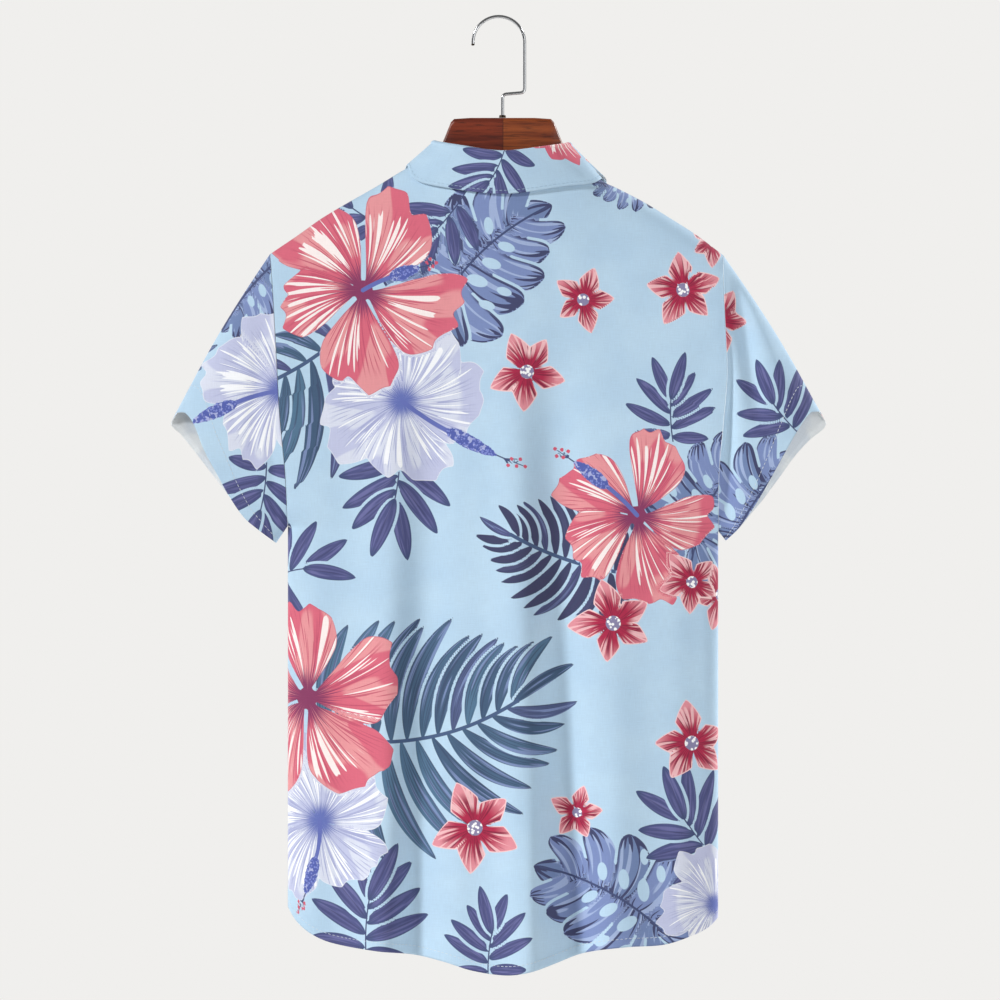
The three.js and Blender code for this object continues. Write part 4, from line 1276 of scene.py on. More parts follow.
BACK_PRINT: tuple[Motif, ...] = (
    Palm((-172, -664), (14, -634), -0.11, 112, 9.4, 13, 0.31, 0.1, fan=(92, 26)),
    Palm((116, -516), (8, -480), 0.05, 60, 6.2, 12, 0.62, 0.62, fan=(88, 26)),
    Palm((-150, -296), (-222, -340), 0.04, 112, 9.4, 6, 0.17, 0.12, sides=(1,), fan=(62, 34)),
    Palm((-150, -296), (-222, -340), 0.04, 48, 6.2, 5, 0.47, 0.2, sides=(-1,), fan=(70, 20)),
    Monstera((-52, -256), (46, -174), 0.23),
    Monstera((147, -846), (29, -787), 0.58, -0.08),
    Monstera((178, -492), (232, -398), 0.71),
    Monstera((132, -150), (82, -152), 0.37, 0.05),
    Spray(-36, -165, -128, 1.15, 0.44, skip=(0, 3)),
    Spray(157.6, -388, 92, 1.0, 0.12),
    Spray(-95, -402, -96, 1.35, 0.53, skip=(0, 1)),
    Spray(-127, -864, 86, 1.35, 0.21),
    Spray(-13.5, -884, 84, 1.02, 0.34, mirror=True),
    Spray(197, -778, 130, 1.3, 0.64, skip=(1,)),
    Spray(-226, -520, 12, 1.2, 0.71, skip=(4, 6)),
    Spray(-106, -196, 150, 1.15, 0.83, skip=(1, 4, 6)),
    SmallFlower(74.9, -261.8, 30, 70, 0.15), SmallFlower(167.9, -252.5, 34, 98, 0.34),
    SmallFlower(22.8, -328.8, 34, 52, 0.52), SmallFlower(69.3, -738, 24, 80, 0.74),
    SmallFlower(-25.6, -751.9, 38, 262, 0.91), SmallFlower(176.2, -673.8, 36, 96, 0.26),
    SmallFlower(196, -208, 22, 60, 0.45), SmallFlower(207, -536, 30, 40, 0.66),
    Hibiscus(-93, -356, 72, 128, Dye.WHITE, 0.61, (13, -414), -0.03),
    Hibiscus(-169.7, -746, 72, 20, Dye.WHITE, 0.28, (-190, -826), 0.05),
    Hibiscus(200, -824, 50, 100, Dye.WHITE, 0.83),
    Hibiscus(-129.7, -253, 84, 46, Dye.CORAL, 0.37, (-66, -229), 0.03),
    Hibiscus(-183, -632, 92, 12, Dye.CORAL, 0.72),
    Hibiscus(125, -462, 77, 62, Dye.CORAL, 0.55, (54, -404), -0.03),
    SmallFlower(176.2, -524.1, 29, 44, 0.12), SmallFlower(102.8, -562.2, 37, 108, 0.83),
)
FRONT_PRINT: tuple[Motif, ...] = (
    Palm((-150, -420), (-20, -330), -0.1, 92, 7.8, 11, 0.26, 0.15),
    Palm((170, -700), (60, -640), 0.08, 80, 7, 11, 0.54, 0.5),
    Monstera((60, -450), (150, -370), 0.42), Monstera((-110, -820), (-20, -740), 0.66),
    Spray(-150, -250, 70, 1.2, 0.31), Spray(110, -560, 100, 1.2, 0.52), Spray(60, -850, 80, 1.3, 0.73),
    Spray(-60, -540, -80, 1.2, 0.15), Spray(150, -200, -120, 1.1, 0.92), Spray(-190, -700, 40, 1.1, 0.37),
    SmallFlower(-80, -300, 32, 80, 0.21), SmallFlower(60, -290, 34, 30, 0.43),
    SmallFlower(190, -560, 34, 100, 0.65), SmallFlower(-20, -640, 36, 60, 0.87),
    SmallFlower(150, -800, 30, 10, 0.09), SmallFlower(-120, -600, 30, 45, 0.33),
    Hibiscus(-120, -500, 76, 70, Dye.CORAL, 0.41, (-60, -460)),
    Hibiscus(70, -700, 80, 20, Dye.CORAL, 0.63, (10, -660)),
    Hibiscus(120, -300, 74, 50, Dye.WHITE, 0.22, (190, -330)),
    Hibiscus(-160, -760, 74, 90, Dye.WHITE, 0.81, (-100, -800)),
)
LEFT_SLEEVE_PRINT: tuple[Motif, ...] = (
    Monstera((-206, -222), (-262, -292), 0.45, -0.06),
    Spray(-219.5, -419, -98, 1.15, 0.36, skip=(6,)),
    Spray(-300, -240, 120, 1.1, 0.58), Palm((-330, -330), (-260, -210), 0.08, 60, 4.6, 9, 0.44, 0.3),
    SmallFlower(-340, -280, 32, 50, 0.71),
    Hibiscus(-206, -346, 67, 150, Dye.WHITE, 0.47, (-304, -384), -0.04),
    Hibiscus(-370, -360, 60, 20, Dye.CORAL, 0.32),
)
RIGHT_SLEEVE_PRINT: tuple[Motif, ...] = (
    Monstera((212, -490), (276, -402), 0.31, 0.06),
    Spray(276, -386, 131, 1.08, 0.24, skip=(0,)),
    Palm((330, -330), (262, -210), -0.08, 60, 4.6, 9, 0.64, 0.3),
    SmallFlower(200, -280, 31, 60, 0.55), SmallFlower(340, -270, 30, 20, 0.77),
    Hibiscus(312, -420, 52, 100, Dye.CORAL, 0.52), Hibiscus(350, -240, 60, 60, Dye.WHITE, 0.13),
)
COLLAR_PRINT: tuple[Motif, ...] = (
    Spray(3, -124, -117, 1.05, 0.47),
    Spray(170, -130, -100, 1.0, 0.25),
    SmallFlower(128, -156, 24, 80, 0.2), SmallFlower(-176, -148, 26, 30, 0.6),
    Hibiscus(79, -93, 50, 198, Dye.CORAL, 0.14), Hibiscus(-215, -150, 46, 40, Dye.WHITE, 0.9),
)
PRINTS: dict[str, tuple[Motif, ...]] = {
    "back": BACK_PRINT, "front_left": FRONT_PRINT, "front_right": FRONT_PRINT,
    "sleeve_left": LEFT_SLEEVE_PRINT, "sleeve_right": RIGHT_SLEEVE_PRINT,
    "collar_stand": (), "collar_fall": COLLAR_PRINT,
}


def printed(name: str, plan: Array) -> dict[str, Array]:
    """Attributes of the print on one piece.

    Args:
        name: The piece's node.
        plan: Places on the flat cloth, in millimetres.

    Returns:
        The attributes by name.
    """
    field = PrintField(plan)
    for motif in PRINTS[name]:
        motif.paint(field)
    return field.marks()


# Finishes

Color = tuple[float, float, float]


def dye_color(text: str) -> Color:
    """Linear red, green and blue of a hex colour."""
    parts = [int(text[k: k + 2], 16) / 255 for k in (0, 2, 4)]
    red, green, blue = (p / 12.92 if p <= 0.04045 else ((p + 0.055) / 1.055) ** 2.4 for p in parts)
    return red, green, blue


class Graph:
    """Short calls that add nodes to a shader tree and give back their outputs."""

    def __init__(self, tree: bpy.types.NodeTree) -> None:
        """Keeps the tree."""
        self.tree = tree

    def put(self, kind: str, inputs: Optional[dict] = None, **settings: object) -> bpy.types.Node:
        """Adds a node with settings, and values or links for its inputs."""
        node = self.tree.nodes.new(kind)
        for key, value in settings.items():
            setattr(node, key, value)
        for key, value in (inputs or {}).items():
            self.feed(node.inputs[key], value)
        return node

    def feed(self, socket: bpy.types.NodeSocket, value: object) -> None:
        """Links an output to an input, or sets its value. A colour is hex digits or three linear values."""
        if isinstance(value, bpy.types.NodeSocket):
            self.tree.links.new(value, socket)
        elif socket.type == "RGBA":
            socket.default_value = (*(dye_color(value) if isinstance(value, str) else value), 1)
        else:
            socket.default_value = value

    def math(self, operation: str, *values: object) -> bpy.types.NodeSocket:
        """A math node."""
        return self.put("ShaderNodeMath", dict(enumerate(values)), operation=operation).outputs[0]

    def times(self, *values: object) -> bpy.types.NodeSocket:
        """Product of values."""
        out = values[0]
        for value in values[1:]:
            out = self.math("MULTIPLY", out, value)
        return out

    def step(self, start: object, stop: object, value: object) -> bpy.types.NodeSocket:
        """0 at start and 1 at stop, eased between them."""
        inputs = {"Value": value, "From Min": start, "From Max": stop}
        return self.put("ShaderNodeMapRange", inputs, interpolation_type="SMOOTHSTEP").outputs["Result"]

    def mix(self, factor: object, a: object, b: object, **settings: object) -> bpy.types.NodeSocket:
        """A colour between a and b."""
        node = self.put("ShaderNodeMix", data_type="RGBA", **settings)
        for index, value in ((0, factor), (6, a), (7, b)):
            self.feed(node.inputs[index], value)
        return node.outputs[2]

    def join(self, x: object, y: object, z: object = 0.0) -> bpy.types.NodeSocket:
        """A vector of three values."""
        return self.put("ShaderNodeCombineXYZ", {0: x, 1: y, 2: z}).outputs[0]

    def split(self, vector: bpy.types.NodeSocket) -> list[bpy.types.NodeSocket]:
        """The three values of a vector."""
        return list(self.put("ShaderNodeSeparateXYZ", {0: vector}).outputs)

    def attribute(self, name: str) -> list[bpy.types.NodeSocket]:
        """The three values of a mesh attribute."""
        return self.split(self.put("ShaderNodeAttribute", attribute_name=name).outputs["Vector"])

    def flat(self) -> bpy.types.NodeSocket:
        """Places on the flat cloth, in metres."""
        return self.put("ShaderNodeUVMap", uv_map=UV_MAP).outputs[0]

    def place(self) -> bpy.types.NodeSocket:
        """Places on the object, in metres."""
        return self.put("ShaderNodeTexCoord").outputs["Object"]

    def noise(self, vector: object, scale: float = 1.0, detail: float = 0.0) -> bpy.types.NodeSocket:
        """Smooth noise about 0.5."""
        return self.put("ShaderNodeTexNoise", {"Vector": vector, "Scale": scale, "Detail": detail}).outputs[0]

    def bump(self, shader: bpy.types.Node, strength: float, distance: float, height: object) -> None:
        """Gives a shader relief from a height."""
        inputs = {"Strength": strength, "Distance": distance, "Height": height}
        self.feed(shader.inputs["Normal"], self.put("ShaderNodeBump", inputs).outputs[0])

    def dots(self, vector: object, scale: float) -> bpy.types.NodeSocket:
        """Distance to the nearest of scattered points, in cells."""
        return self.put("ShaderNodeTexVoronoi", {"Vector": vector, "Scale": scale}).outputs["Distance"]


INK_EDGE = 0.28
PETAL_LOOKS = {
    Dye.WHITE: (("c1c6e3", "d9deee"), "a0a6d0", "f8fafe", "6270b6", "e9edf6", 0.27),
    Dye.CORAL: (("d9667c", "e6969b"), "c4506c", "fdf1ef", "86325f", "c65a70", 0.34),
}


@dataclass
class PrintGraph:
    """Builds the printed colour from the distances and coordinates on the cloth."""

    graph: Graph

    def _streak(self, across: object, along: object, count: float, stretch: float, low: float,
                soft: float = 0.03, shift: float = 0.0) -> bpy.types.NodeSocket:
        """Streaks along a motif: noise squeezed across it, above a level."""
        g = self.graph
        place = g.join(g.times(across, count), g.times(along, stretch), shift)
        return g.step(low, low + soft, g.noise(place))

    def petals(self, tones: tuple[str, str], fine: str, streak: str, throat: str, edge: str,
               reach: float) -> bpy.types.NodeSocket:
        """Colour of a hibiscus petal.

        Args:
            tones: Two ground tones, in broad bands.
            fine: Thin darker lines.
            streak: Broad pale streaks, which taper to both ends.
            throat: The heart, with a jagged edge.
            edge: Thin line round each petal.
            reach: How far out the throat goes, as a share of the radius.

        Returns:
            The colour.
        """
        g = self.graph
        across, along, inside = self.petal
        band = g.noise(g.join(g.times(across, 1.1), g.times(along, 1.3), 3.0))
        color = g.mix(g.step(0.475, 0.53, band), *tones)
        thin = self._streak(across, along, 13.0, 1.3, 0.57, 0.05, 8.0)
        color = g.mix(g.times(thin, g.step(1.02, 0.75, along), 0.85), color, fine)
        place = g.join(g.times(across, 8.4), g.times(along, 0.9), 1.0)
        middle = g.math("SUBTRACT", along, 0.6)
        level = g.math("MULTIPLY_ADD", g.times(middle, middle), 1.1, 0.565)
        above = g.math("SUBTRACT", g.noise(place), level)
        color = g.mix(g.step(0.0, 0.022, above), color, streak)
        rays = g.times(g.noise(g.join(g.times(across, 9.0), 0.0, 5.0)), reach * 1.5)
        heart = g.step(0.08, -0.1, g.math("SUBTRACT", along, rays))
        color = g.mix(heart, color, throat)
        line = g.times(g.step(-0.9, -0.3, inside), g.step(0.9, 0.3, inside), g.step(0.15, 0.5, along))
        return g.mix(g.times(line, 0.75), color, edge)

    def small(self) -> bpy.types.NodeSocket:
        """Colour of a small flower: crimson to salmon, dark and pale lines, and a pale rim."""
        g = self.graph
        across, along, inside = self.petal
        color = g.mix(g.step(0.42, 0.98, along), "b01c46", "e2909b")
        dark = g.times(self._streak(across, along, 6.0, 0.8, 0.53, 0.04), g.step(0.98, 0.6, along))
        color = g.mix(g.times(dark, 0.85), color, "7c0f36")
        pale = g.times(self._streak(across, along, 5.0, 0.9, 0.56, 0.04, 4.0), g.step(0.35, 0.6, along))
        color = g.mix(g.times(pale, 0.8), color, "f6c6c9")
        rim = g.times(g.step(-1.3, -0.7, inside), g.step(0.3, 0.55, along))
        return g.mix(rim, color, "f8cfd0")

    def leaf(self) -> bpy.types.NodeSocket:
        """Colour of a violet leaf: brushed violet, dark blue at its ends and rims, and a fine midrib."""
        g = self.graph
        across, along, seed = self.blade
        shifted = g.math("MULTIPLY_ADD", seed, 9.0, along)
        color = g.mix(self._streak(across, shifted, 3.2, 2.0, 0.42, 0.2), "4b5083", "686a9e")
        color = g.mix(g.step(0.0, 0.15, across), color, g.mix(0.45, color, "434778"))
        ends = g.math("MAXIMUM", g.step(0.2, 0.02, along), g.step(0.78, 0.97, along))
        rims = g.math("MAXIMUM", ends, g.step(0.72, 1.0, g.math("ABSOLUTE", across)))
        color = g.mix(g.times(rims, 0.85), color, "3a4a74")
        rib = g.times(g.step(0.1, 0.03, g.math("ABSOLUTE", across)), g.step(0.85, 0.6, along), 0.55)
        return g.mix(rib, color, "383b62")

    def palm(self) -> bpy.types.NodeSocket:
        """Colour of a leaflet: blue, teal or dark violet by its seed, dark rims and light streaks."""
        g = self.graph
        across, along, seed = self.blade
        tone = g.mix(g.step(0.15, 0.4, seed), "3d5877", "4f7390")
        tone = g.mix(g.step(0.42, 0.55, seed), tone, "4f5484")
        tone = g.mix(g.step(0.62, 0.85, seed), tone, "3b3b60")
        shifted = g.math("MULTIPLY_ADD", seed, 9.0, along)
        light = g.times(self._streak(across, shifted, 2.2, 1.2, 0.53, 0.05), g.step(0.85, 0.55, seed),
                            g.step(0.15, 0.4, along))
        color = g.mix(g.times(light, 0.75), tone, "8496c4")
        dark = self._streak(across, shifted, 4.5, 1.0, 0.56, 0.06, 6.0)
        color = g.mix(g.times(dark, 0.6), color, "334262")
        rims = g.math("MAXIMUM", g.step(0.66, 1.0, across), g.step(0.9, 1.0, along))
        return g.mix(g.times(rims, 0.8), color, "334161")

    def monstera(self) -> bpy.types.NodeSocket:
        """Colour of a split leaf: periwinkle, dark strokes at the tips and the midrib, and pale lines."""
        g = self.graph
        across, along, seed = self.blade
        tone = g.mix(g.step(0.3, 0.7, seed), "7b8dbe", "6f84b0")
        shifted = g.math("MULTIPLY_ADD", seed, 7.0, along)
        pale = self._streak(across, shifted, 3.0, 0.9, 0.56, 0.04)
        color = g.mix(g.times(pale, 0.8), tone, "a9bbdf")
        place = g.join(g.times(across, 3.8), g.times(shifted, 0.6), 2.0)
        away = g.math("ABSOLUTE", g.math("SUBTRACT", along, 0.42))
        level = g.math("MULTIPLY_ADD", g.times(away, away), -1.15, 0.68)
        dark = g.step(0.0, 0.03, g.math("SUBTRACT", g.noise(place), level))
        color = g.mix(dark, color, "3c4168")
        rims = g.times(g.step(0.82, 0.98, across), g.step(0.2, 0.45, along))
        return g.mix(rims, color, "434972")

    def build(self) -> bpy.types.NodeSocket:
        """Lays the inks in the order of Dye, and gives the colour."""
        g = self.graph
        inks = [socket for k in range(3) for socket in g.attribute(f"ink_{k}")]
        self.petal, self.blade = g.attribute("petal"), g.attribute("blade")
        flat = g.flat()
        mask = {dye: g.step(INK_EDGE, -INK_EDGE, inks[dye.value]) for dye in Dye}
        mottle = g.noise(flat, 22.0, 2.0)
        color = g.mix(g.step(0.3, 0.7, mottle), "b5d2e9", "bcd8ed")
        for dye, ink in ((Dye.PALM, self.palm), (Dye.LEAF, self.leaf), (Dye.MONSTERA, self.monstera),
                         (Dye.SMALL, self.small)):
            color = g.mix(mask[dye], color, ink())
        for dye, looks in PETAL_LOOKS.items():
            color = g.mix(mask[dye], color, self.petals(*looks))
        off, away, half = g.attribute("line")
        thin = g.step(0.2, -0.2, g.math("SUBTRACT", g.math("ABSOLUTE", off), half))
        stalk = g.mix(g.step(1.04, 1.14, half), "3f4a74", "43597f")
        stalk = g.mix(g.step(1.85, 2.0, half), stalk, "626eb6")
        color = g.mix(g.times(thin, g.step(2.4, 1.8, away)), color, stalk)
        speck = g.dots(flat, 1 / 0.0024)
        head = g.mix(g.step(0.25, 0.5, speck), "7f8bd0", "4f5dab")
        gaps = g.step(0.68, 0.78, g.dots(flat, 1 / 0.0034))
        head = g.mix(g.times(gaps, 0.6), head, "c9cff0")
        rough = g.math("MULTIPLY_ADD", speck, 1.6, g.math("SUBTRACT", inks[Dye.STAMEN.value], 0.7))
        color = g.mix(g.step(INK_EDGE, -INK_EDGE, rough), color, head)
        color = g.mix(mask[Dye.BEAD], color, "d0546c")
        heart = g.mix(g.step(0.5, 0.4, g.dots(flat, 1 / 0.0033)), "8a84a8", "ffffff")
        return g.mix(mask[Dye.HEART], color, heart)


def weave_group() -> bpy.types.NodeTree:
    """Node group of a plain weave: two crossed sine waves give its height, noise its slubs, and the height also
    darkens the colour a little where the weave is low, as painted shade.

    Returns:
        The group, with Vector and Pitch in, and Height and Shade out.
    """
    tree = bpy.data.node_groups.new("weave", "ShaderNodeTree")
    for name, way, kind in (("Vector", "INPUT", "Vector"), ("Pitch", "INPUT", "Float"),
                            ("Height", "OUTPUT", "Float"), ("Shade", "OUTPUT", "Float")):
        tree.interface.new_socket(name, in_out=way, socket_type=f"NodeSocket{kind}")
    g = Graph(tree)
    enter, leave = g.put("NodeGroupInput"), g.put("NodeGroupOutput")
    x, y, _ = g.split(enter.outputs["Vector"])
    turns = g.math("DIVIDE", math.tau / 2, enter.outputs["Pitch"])
    warp = g.math("SINE", g.times(x, turns))
    weft = g.math("SINE", g.times(y, turns))
    over = g.times(warp, weft)
    g.feed(leave.inputs["Height"], g.math("MULTIPLY_ADD", over, 0.5, 0.5))
    slubs = [g.noise(g.join(g.times(x, 90.0), g.times(y, 1400.0)), 1.0, 2.0)]
    slubs.append(g.noise(g.join(g.times(x, 1400.0), g.times(y, 90.0), 7.0), 1.0, 2.0))
    slub = g.math("ADD", *slubs)
    # Painted shade: the colour is 2% darker where the weave is low and 2% lighter where it is high.
    shade = g.math("MULTIPLY_ADD", over, 0.02, 0.86)
    g.feed(leave.inputs["Shade"], g.math("MULTIPLY_ADD", slub, 0.14, shade))
    return tree


def new_material(name: str, **constants: object) -> tuple[bpy.types.Material, Graph, bpy.types.Node]:
    """A material, its graph and its Principled BSDF with constants on the shader's own sockets."""
    material = bpy.data.materials.new(name)
    material.use_nodes = True
    shader = material.node_tree.nodes["Principled BSDF"]
    for key, value in constants.items():
        shader.inputs[key.replace("_", " ")].default_value = value
    return material, Graph(material.node_tree), shader


@dataclass(frozen=True)
class ClothFinish:
    """Woven cloth: thread pitch and weave height in metres, strength of the relief, roughness and sheen."""

    pitch: float = 0.00042
    relief: float = 0.00005
    strength: float = 0.5
    rough: float = 0.82
    sheen: float = 0.12

    def face(self, weave: bpy.types.NodeTree) -> bpy.types.Material:
        """The printed side."""
        material, g, shader = new_material("cloth_printed", Roughness=self.rough, Sheen_Weight=self.sheen)
        self._weave(g, shader, weave, PrintGraph(g).build())
        return material

    def reverse(self, weave: bpy.types.NodeTree) -> bpy.types.Material:
        """The pale reverse."""
        rough = self.rough + 0.05
        material, g, shader = new_material("cloth_reverse", Roughness=rough, Sheen_Weight=self.sheen)
        flat = g.flat()
        patches = g.step(0.42, 0.6, g.noise(flat, 38.0, 2.0))
        self._weave(g, shader, weave, g.mix(patches, "e6ebee", "d6dee6"))
        return material

    def _weave(self, g: Graph, shader: bpy.types.Node, weave: bpy.types.NodeTree, color: object) -> None:
        """Shades a colour with the weave and gives it its relief."""
        flat = g.flat()
        cloth = g.put("ShaderNodeGroup", node_tree=weave)
        g.feed(cloth.inputs["Vector"], flat)
        g.feed(cloth.inputs["Pitch"], self.pitch)
        g.feed(shader.inputs["Base Color"], g.mix(1.0, color, cloth.outputs["Shade"], blend_type="MULTIPLY"))
        g.bump(shader, self.strength, self.relief, cloth.outputs["Height"])


@dataclass(frozen=True)
class WoodFinish:
    """Varnished reddish wood in two glued halves, with grain along the arms, and painted shade on the left half and
    painted light on the right half.
    """

    joint: float = 0.0005

    def build(self) -> bpy.types.Material:
        """Grain is noise stretched along x; painted shade makes the left half darker and redder, painted light the
        right half lighter.
        """
        constants = {"Roughness": 0.4, "Coat_Weight": 0.2, "Coat_Roughness": 0.4}
        material, g, shader = new_material("wood_varnished", **constants)
        x, y, z = g.split(g.place())
        side = g.step(self.joint - 0.0002, self.joint + 0.0002, x)
        shifted = g.math("MULTIPLY_ADD", side, 0.7, g.times(x, 9.0))
        long = g.join(shifted, g.times(y, 160.0), g.times(z, 170.0))
        grain = g.noise(long, 1.0, 4.0)
        broad = g.noise(g.join(shifted, 0.0, g.times(z, 40.0)), 1.0, 2.0)
        tone = g.math("ADD", g.times(grain, 0.55), g.times(broad, 0.45))
        # Painted shade and light: the left half takes the darker, redder tone and the right half the lighter tan
        # one.
        red = g.mix(g.step(0.36, 0.66, tone), "54180a", "8c3516")
        tan = g.mix(g.step(0.36, 0.66, tone), "642408", "9c4c1c")
        color = g.mix(side, red, tan)
        pores = g.noise(g.join(g.times(x, 60.0), g.times(y, 900.0), g.times(z, 900.0)))
        color = g.mix(g.times(g.step(0.6, 0.68, pores), 0.5), color, "2e0e04")
        seam = g.step(0.0006, 0.0002, g.math("ABSOLUTE", g.math("SUBTRACT", x, self.joint)))
        g.feed(shader.inputs["Base Color"], g.mix(g.times(seam, 0.6), color, "2c0c04"))
        g.feed(shader.inputs["Roughness"], g.math("MULTIPLY_ADD", grain, 0.18, 0.34))
        g.bump(shader, 0.25, 0.0002, pores)
        return material


@dataclass(frozen=True)
class MetalFinish:
    """Plated wire or a dark ring, with fine drawn scratches along its length."""

    name: str
    color: str
    rough: float
    metal: float = 1.0

    def build(self) -> bpy.types.Material:
        """Scratches are noise stretched along z that vary the roughness."""
        material, g, shader = new_material(self.name, Metallic=self.metal)
        x, y, z = g.split(g.place())
        place = g.join(g.times(x, 3000.0), g.times(y, 3000.0), g.times(z, 200.0))
        scratch = g.noise(place, 1.0, 2.0)
        color = g.mix(g.times(scratch, 0.2), self.color, (0.1, 0.1, 0.1))
        g.feed(shader.inputs["Base Color"], color)
        g.feed(shader.inputs["Roughness"], g.math("MULTIPLY_ADD", scratch, 0.12, self.rough - 0.06))
        return material


@dataclass(frozen=True)
class ShellFinish:
    """Pale pearly button plastic with faint cloudy bands."""

    def build(self) -> bpy.types.Material:
        """Clouds are noise that shifts the tone."""
        material, g, shader = new_material("button_shell", Coat_Weight=0.4, Coat_Roughness=0.1)
        cloud = g.noise(g.place(), 320.0, 3.0)
        g.feed(shader.inputs["Base Color"], g.mix(g.step(0.35, 0.65, cloud), "dfe8ee", "c4d2de"))
        g.feed(shader.inputs["Roughness"], g.math("MULTIPLY_ADD", cloud, 0.12, 0.2))
        return material


@dataclass(frozen=True)
class ThreadFinish:
    """Sewing thread with its ply."""

    name: str
    color: str

    def build(self) -> bpy.types.Material:
        """The ply is a fine noise on the colour."""
        material, g, shader = new_material(self.name, Roughness=0.8)
        ply = g.noise(g.place(), 4000.0, 1.0)
        deep = tuple(0.8 * part for part in dye_color(self.color))
        g.feed(shader.inputs["Base Color"], g.mix(g.step(0.35, 0.65, ply), deep, self.color))
        return material


# Hanger

WOOD_TOP = -92.5
WOOD_NECK: Table = ((0, 0), (30, 0), (45, -1), (48, -4), (55.5, -22.5), (62, -38), (69, -47))
WOOD_SECTIONS: Table = (
    (0, -150, 7), (30, -151, 7), (45, -154, 7), (48, -155, 6.9), (55.5, -158, 6.7), (62, -162, 6.5),
    (69, -166, 6.2), (80, -173, 6), (100, -184, 5.7), (125, -197, 5.5), (150, -210, 5.5), (175, -224, 5.5),
    (193, -235, 5.4), (201, -240, 5.2), (208, -243, 4.8), (212, -243, 4.2),
)


RING_PROFILE: Table = ((3.0, 0), (3.3, 0.35), (3.1, 1.0), (3.1, 1.5), (2.8, 2.2), (2.5, 2.4))
TURNED_SIDES = 40


@dataclass
class Hanger:
    """Shaped wooden hanger with a wire hook and a small ring at its foot."""

    left_end: float = 212
    right_end: float = 201
    shoulder: float = 80
    under_cloth: float = 2.4
    corner: float = 4.6
    corner_points: int = 9
    rounded_end: float = 9
    wood_steps: int = 110
    wire: float = 1.5
    solid_wire: float = 1.55
    wire_sides: int = 24
    wire_steps: int = 170
    rounding: float = 0.8
    hook_radius: float = 24
    hook_shift: float = 3.5
    tip_angle: float = 187
    leg_bottom: float = -65.2
    slope: float = 5
    bend: float = 4

    def build(self) -> None:
        """Builds the wood, the wire, its dark tip and the ring."""
        self._wood()
        chrome = MetalFinish("hook_chrome", "d5d7da", 0.16).build()
        dark = MetalFinish("ring_dark", "3b3027", 0.38).build()
        path = self._hook_path()
        self._tube("hook_wire", path, self.wire, chrome, "hanger_hook")
        tip = path[:5] - (path[4] - path[0]) * 0.02
        self._tube("hook_tip", tip, self.wire + 0.16, dark, None)
        self._ring(dark)

    def _tube(self, name: str, path: Array, radius: float, finish: bpy.types.Material, node: Optional[str]) -> None:
        """A round rod along a path, with softly rounded ends."""
        away = np.minimum(_lengths(path), _lengths(path)[-1] - _lengths(path))
        round_end = np.sqrt(np.clip(1 - (1 - np.minimum(away / self.rounding, 1)) ** 2, 0.05, 1))
        points, quads, triangles = tube(path, radius * (0.55 + 0.45 * round_end), self.wire_sides)
        settle(name, mesh_from(name, points * MM, [quads], triangles), [finish], node)

    def _hook_path(self) -> Array:
        """Centre line: an arc, the leg, a bend, a sloping step, a bend and the stub."""
        inside = self.hook_radius - self.solid_wire
        centre = (-self.hook_shift, -math.sqrt(inside ** 2 - self.hook_shift ** 2))
        leg = centre[0] + self.hook_radius
        turn = 90 - self.slope
        fall = (leg - 2 * self.bend) * math.tan(math.radians(self.slope))
        stub = self.leg_bottom - 2 * self.bend - fall
        parts = [
            _arc(*centre, self.hook_radius, self.tip_angle, 0, 96),
            _arc(leg - self.bend, self.leg_bottom, self.bend, 0, -turn, 14),
            _arc(self.bend, stub, self.bend, 180 - turn, 180, 14),
            np.array([[0, 0, WOOD_TOP + SEAM_GAP]]),
        ]
        corners = np.concatenate(parts)
        length = _lengths(corners)
        even = np.union1d(np.linspace(0, length[-1], self.wire_steps), length)
        return np.stack([np.interp(even, length, corners[:, k]) for k in range(3)], axis=-1)

    def _wood(self) -> None:
        """The wood: rounded rectangles across the arms, straight between the rows of the tables."""
        places, unders, halves = np.array(WOOD_SECTIONS, float).T
        rings = []
        for side, end in ((-1, self.left_end), (1, self.right_end)):
            outer = (places - self.shoulder) / (places[-1] - self.shoulder)
            real = np.where(places > self.shoulder, self.shoulder + outer * (end - self.shoulder), places)
            x = np.union1d(np.linspace(0 if side > 0 else 1, end, self.wood_steps), real[1:])
            keys = np.interp(x, real, places)
            over = BODY.crest(side * real) - self.under_cloth
            tops = np.where(places <= WOOD_NECK[-1][0], WOOD_TOP + read(WOOD_NECK, 1, places), over)
            round_end = self.rounded_end * ease(end - 12, end, x)
            drop = (BODY.crest(side * x) - BODY.crest(-x)) * ease(self.shoulder / 2, self.shoulder, x)
            top = np.interp(x, real, tops) - round_end / 2
            under = np.interp(keys, places, unders) + drop + round_end
            half = np.interp(keys, places, halves)
            rings.append(self._sections(side * x, top, under, half)[::side])
        grid = np.concatenate(rings)
        index = ring_index(*grid.shape[:2])
        points = np.concatenate([grid.reshape(-1, 3), grid[0].mean(0)[None], grid[-1].mean(0)[None]])
        mesh = mesh_from("hanger_body", points * MM, [quads_of(index)], end_fans(index))
        settle("hanger_body", mesh, [WoodFinish().build()], "hanger_wood")

    def _sections(self, x: Array, top: Array, under: Array, half: Array) -> Array:
        """Rounded rectangles: quarter circles of the corner's radius joined by straight sides."""
        corner = np.minimum(self.corner, half - 0.9)[:, None]
        count = self.corner_points
        angle = np.radians(np.concatenate([np.linspace(90 * k, 90 * k + 90, count) for k in range(4)]))
        right, high = np.repeat([1, -1, -1, 1], count), np.repeat([1, 1, -1, -1], count)
        across = right * (half[:, None] - corner) + corner * np.cos(angle)
        level = np.where(high > 0, top[:, None] - corner, under[:, None] + corner) + corner * np.sin(angle)
        places = np.broadcast_to(x[:, None], across.shape)
        return np.stack([places, BODY.middle(places) + across, level], axis=-1)

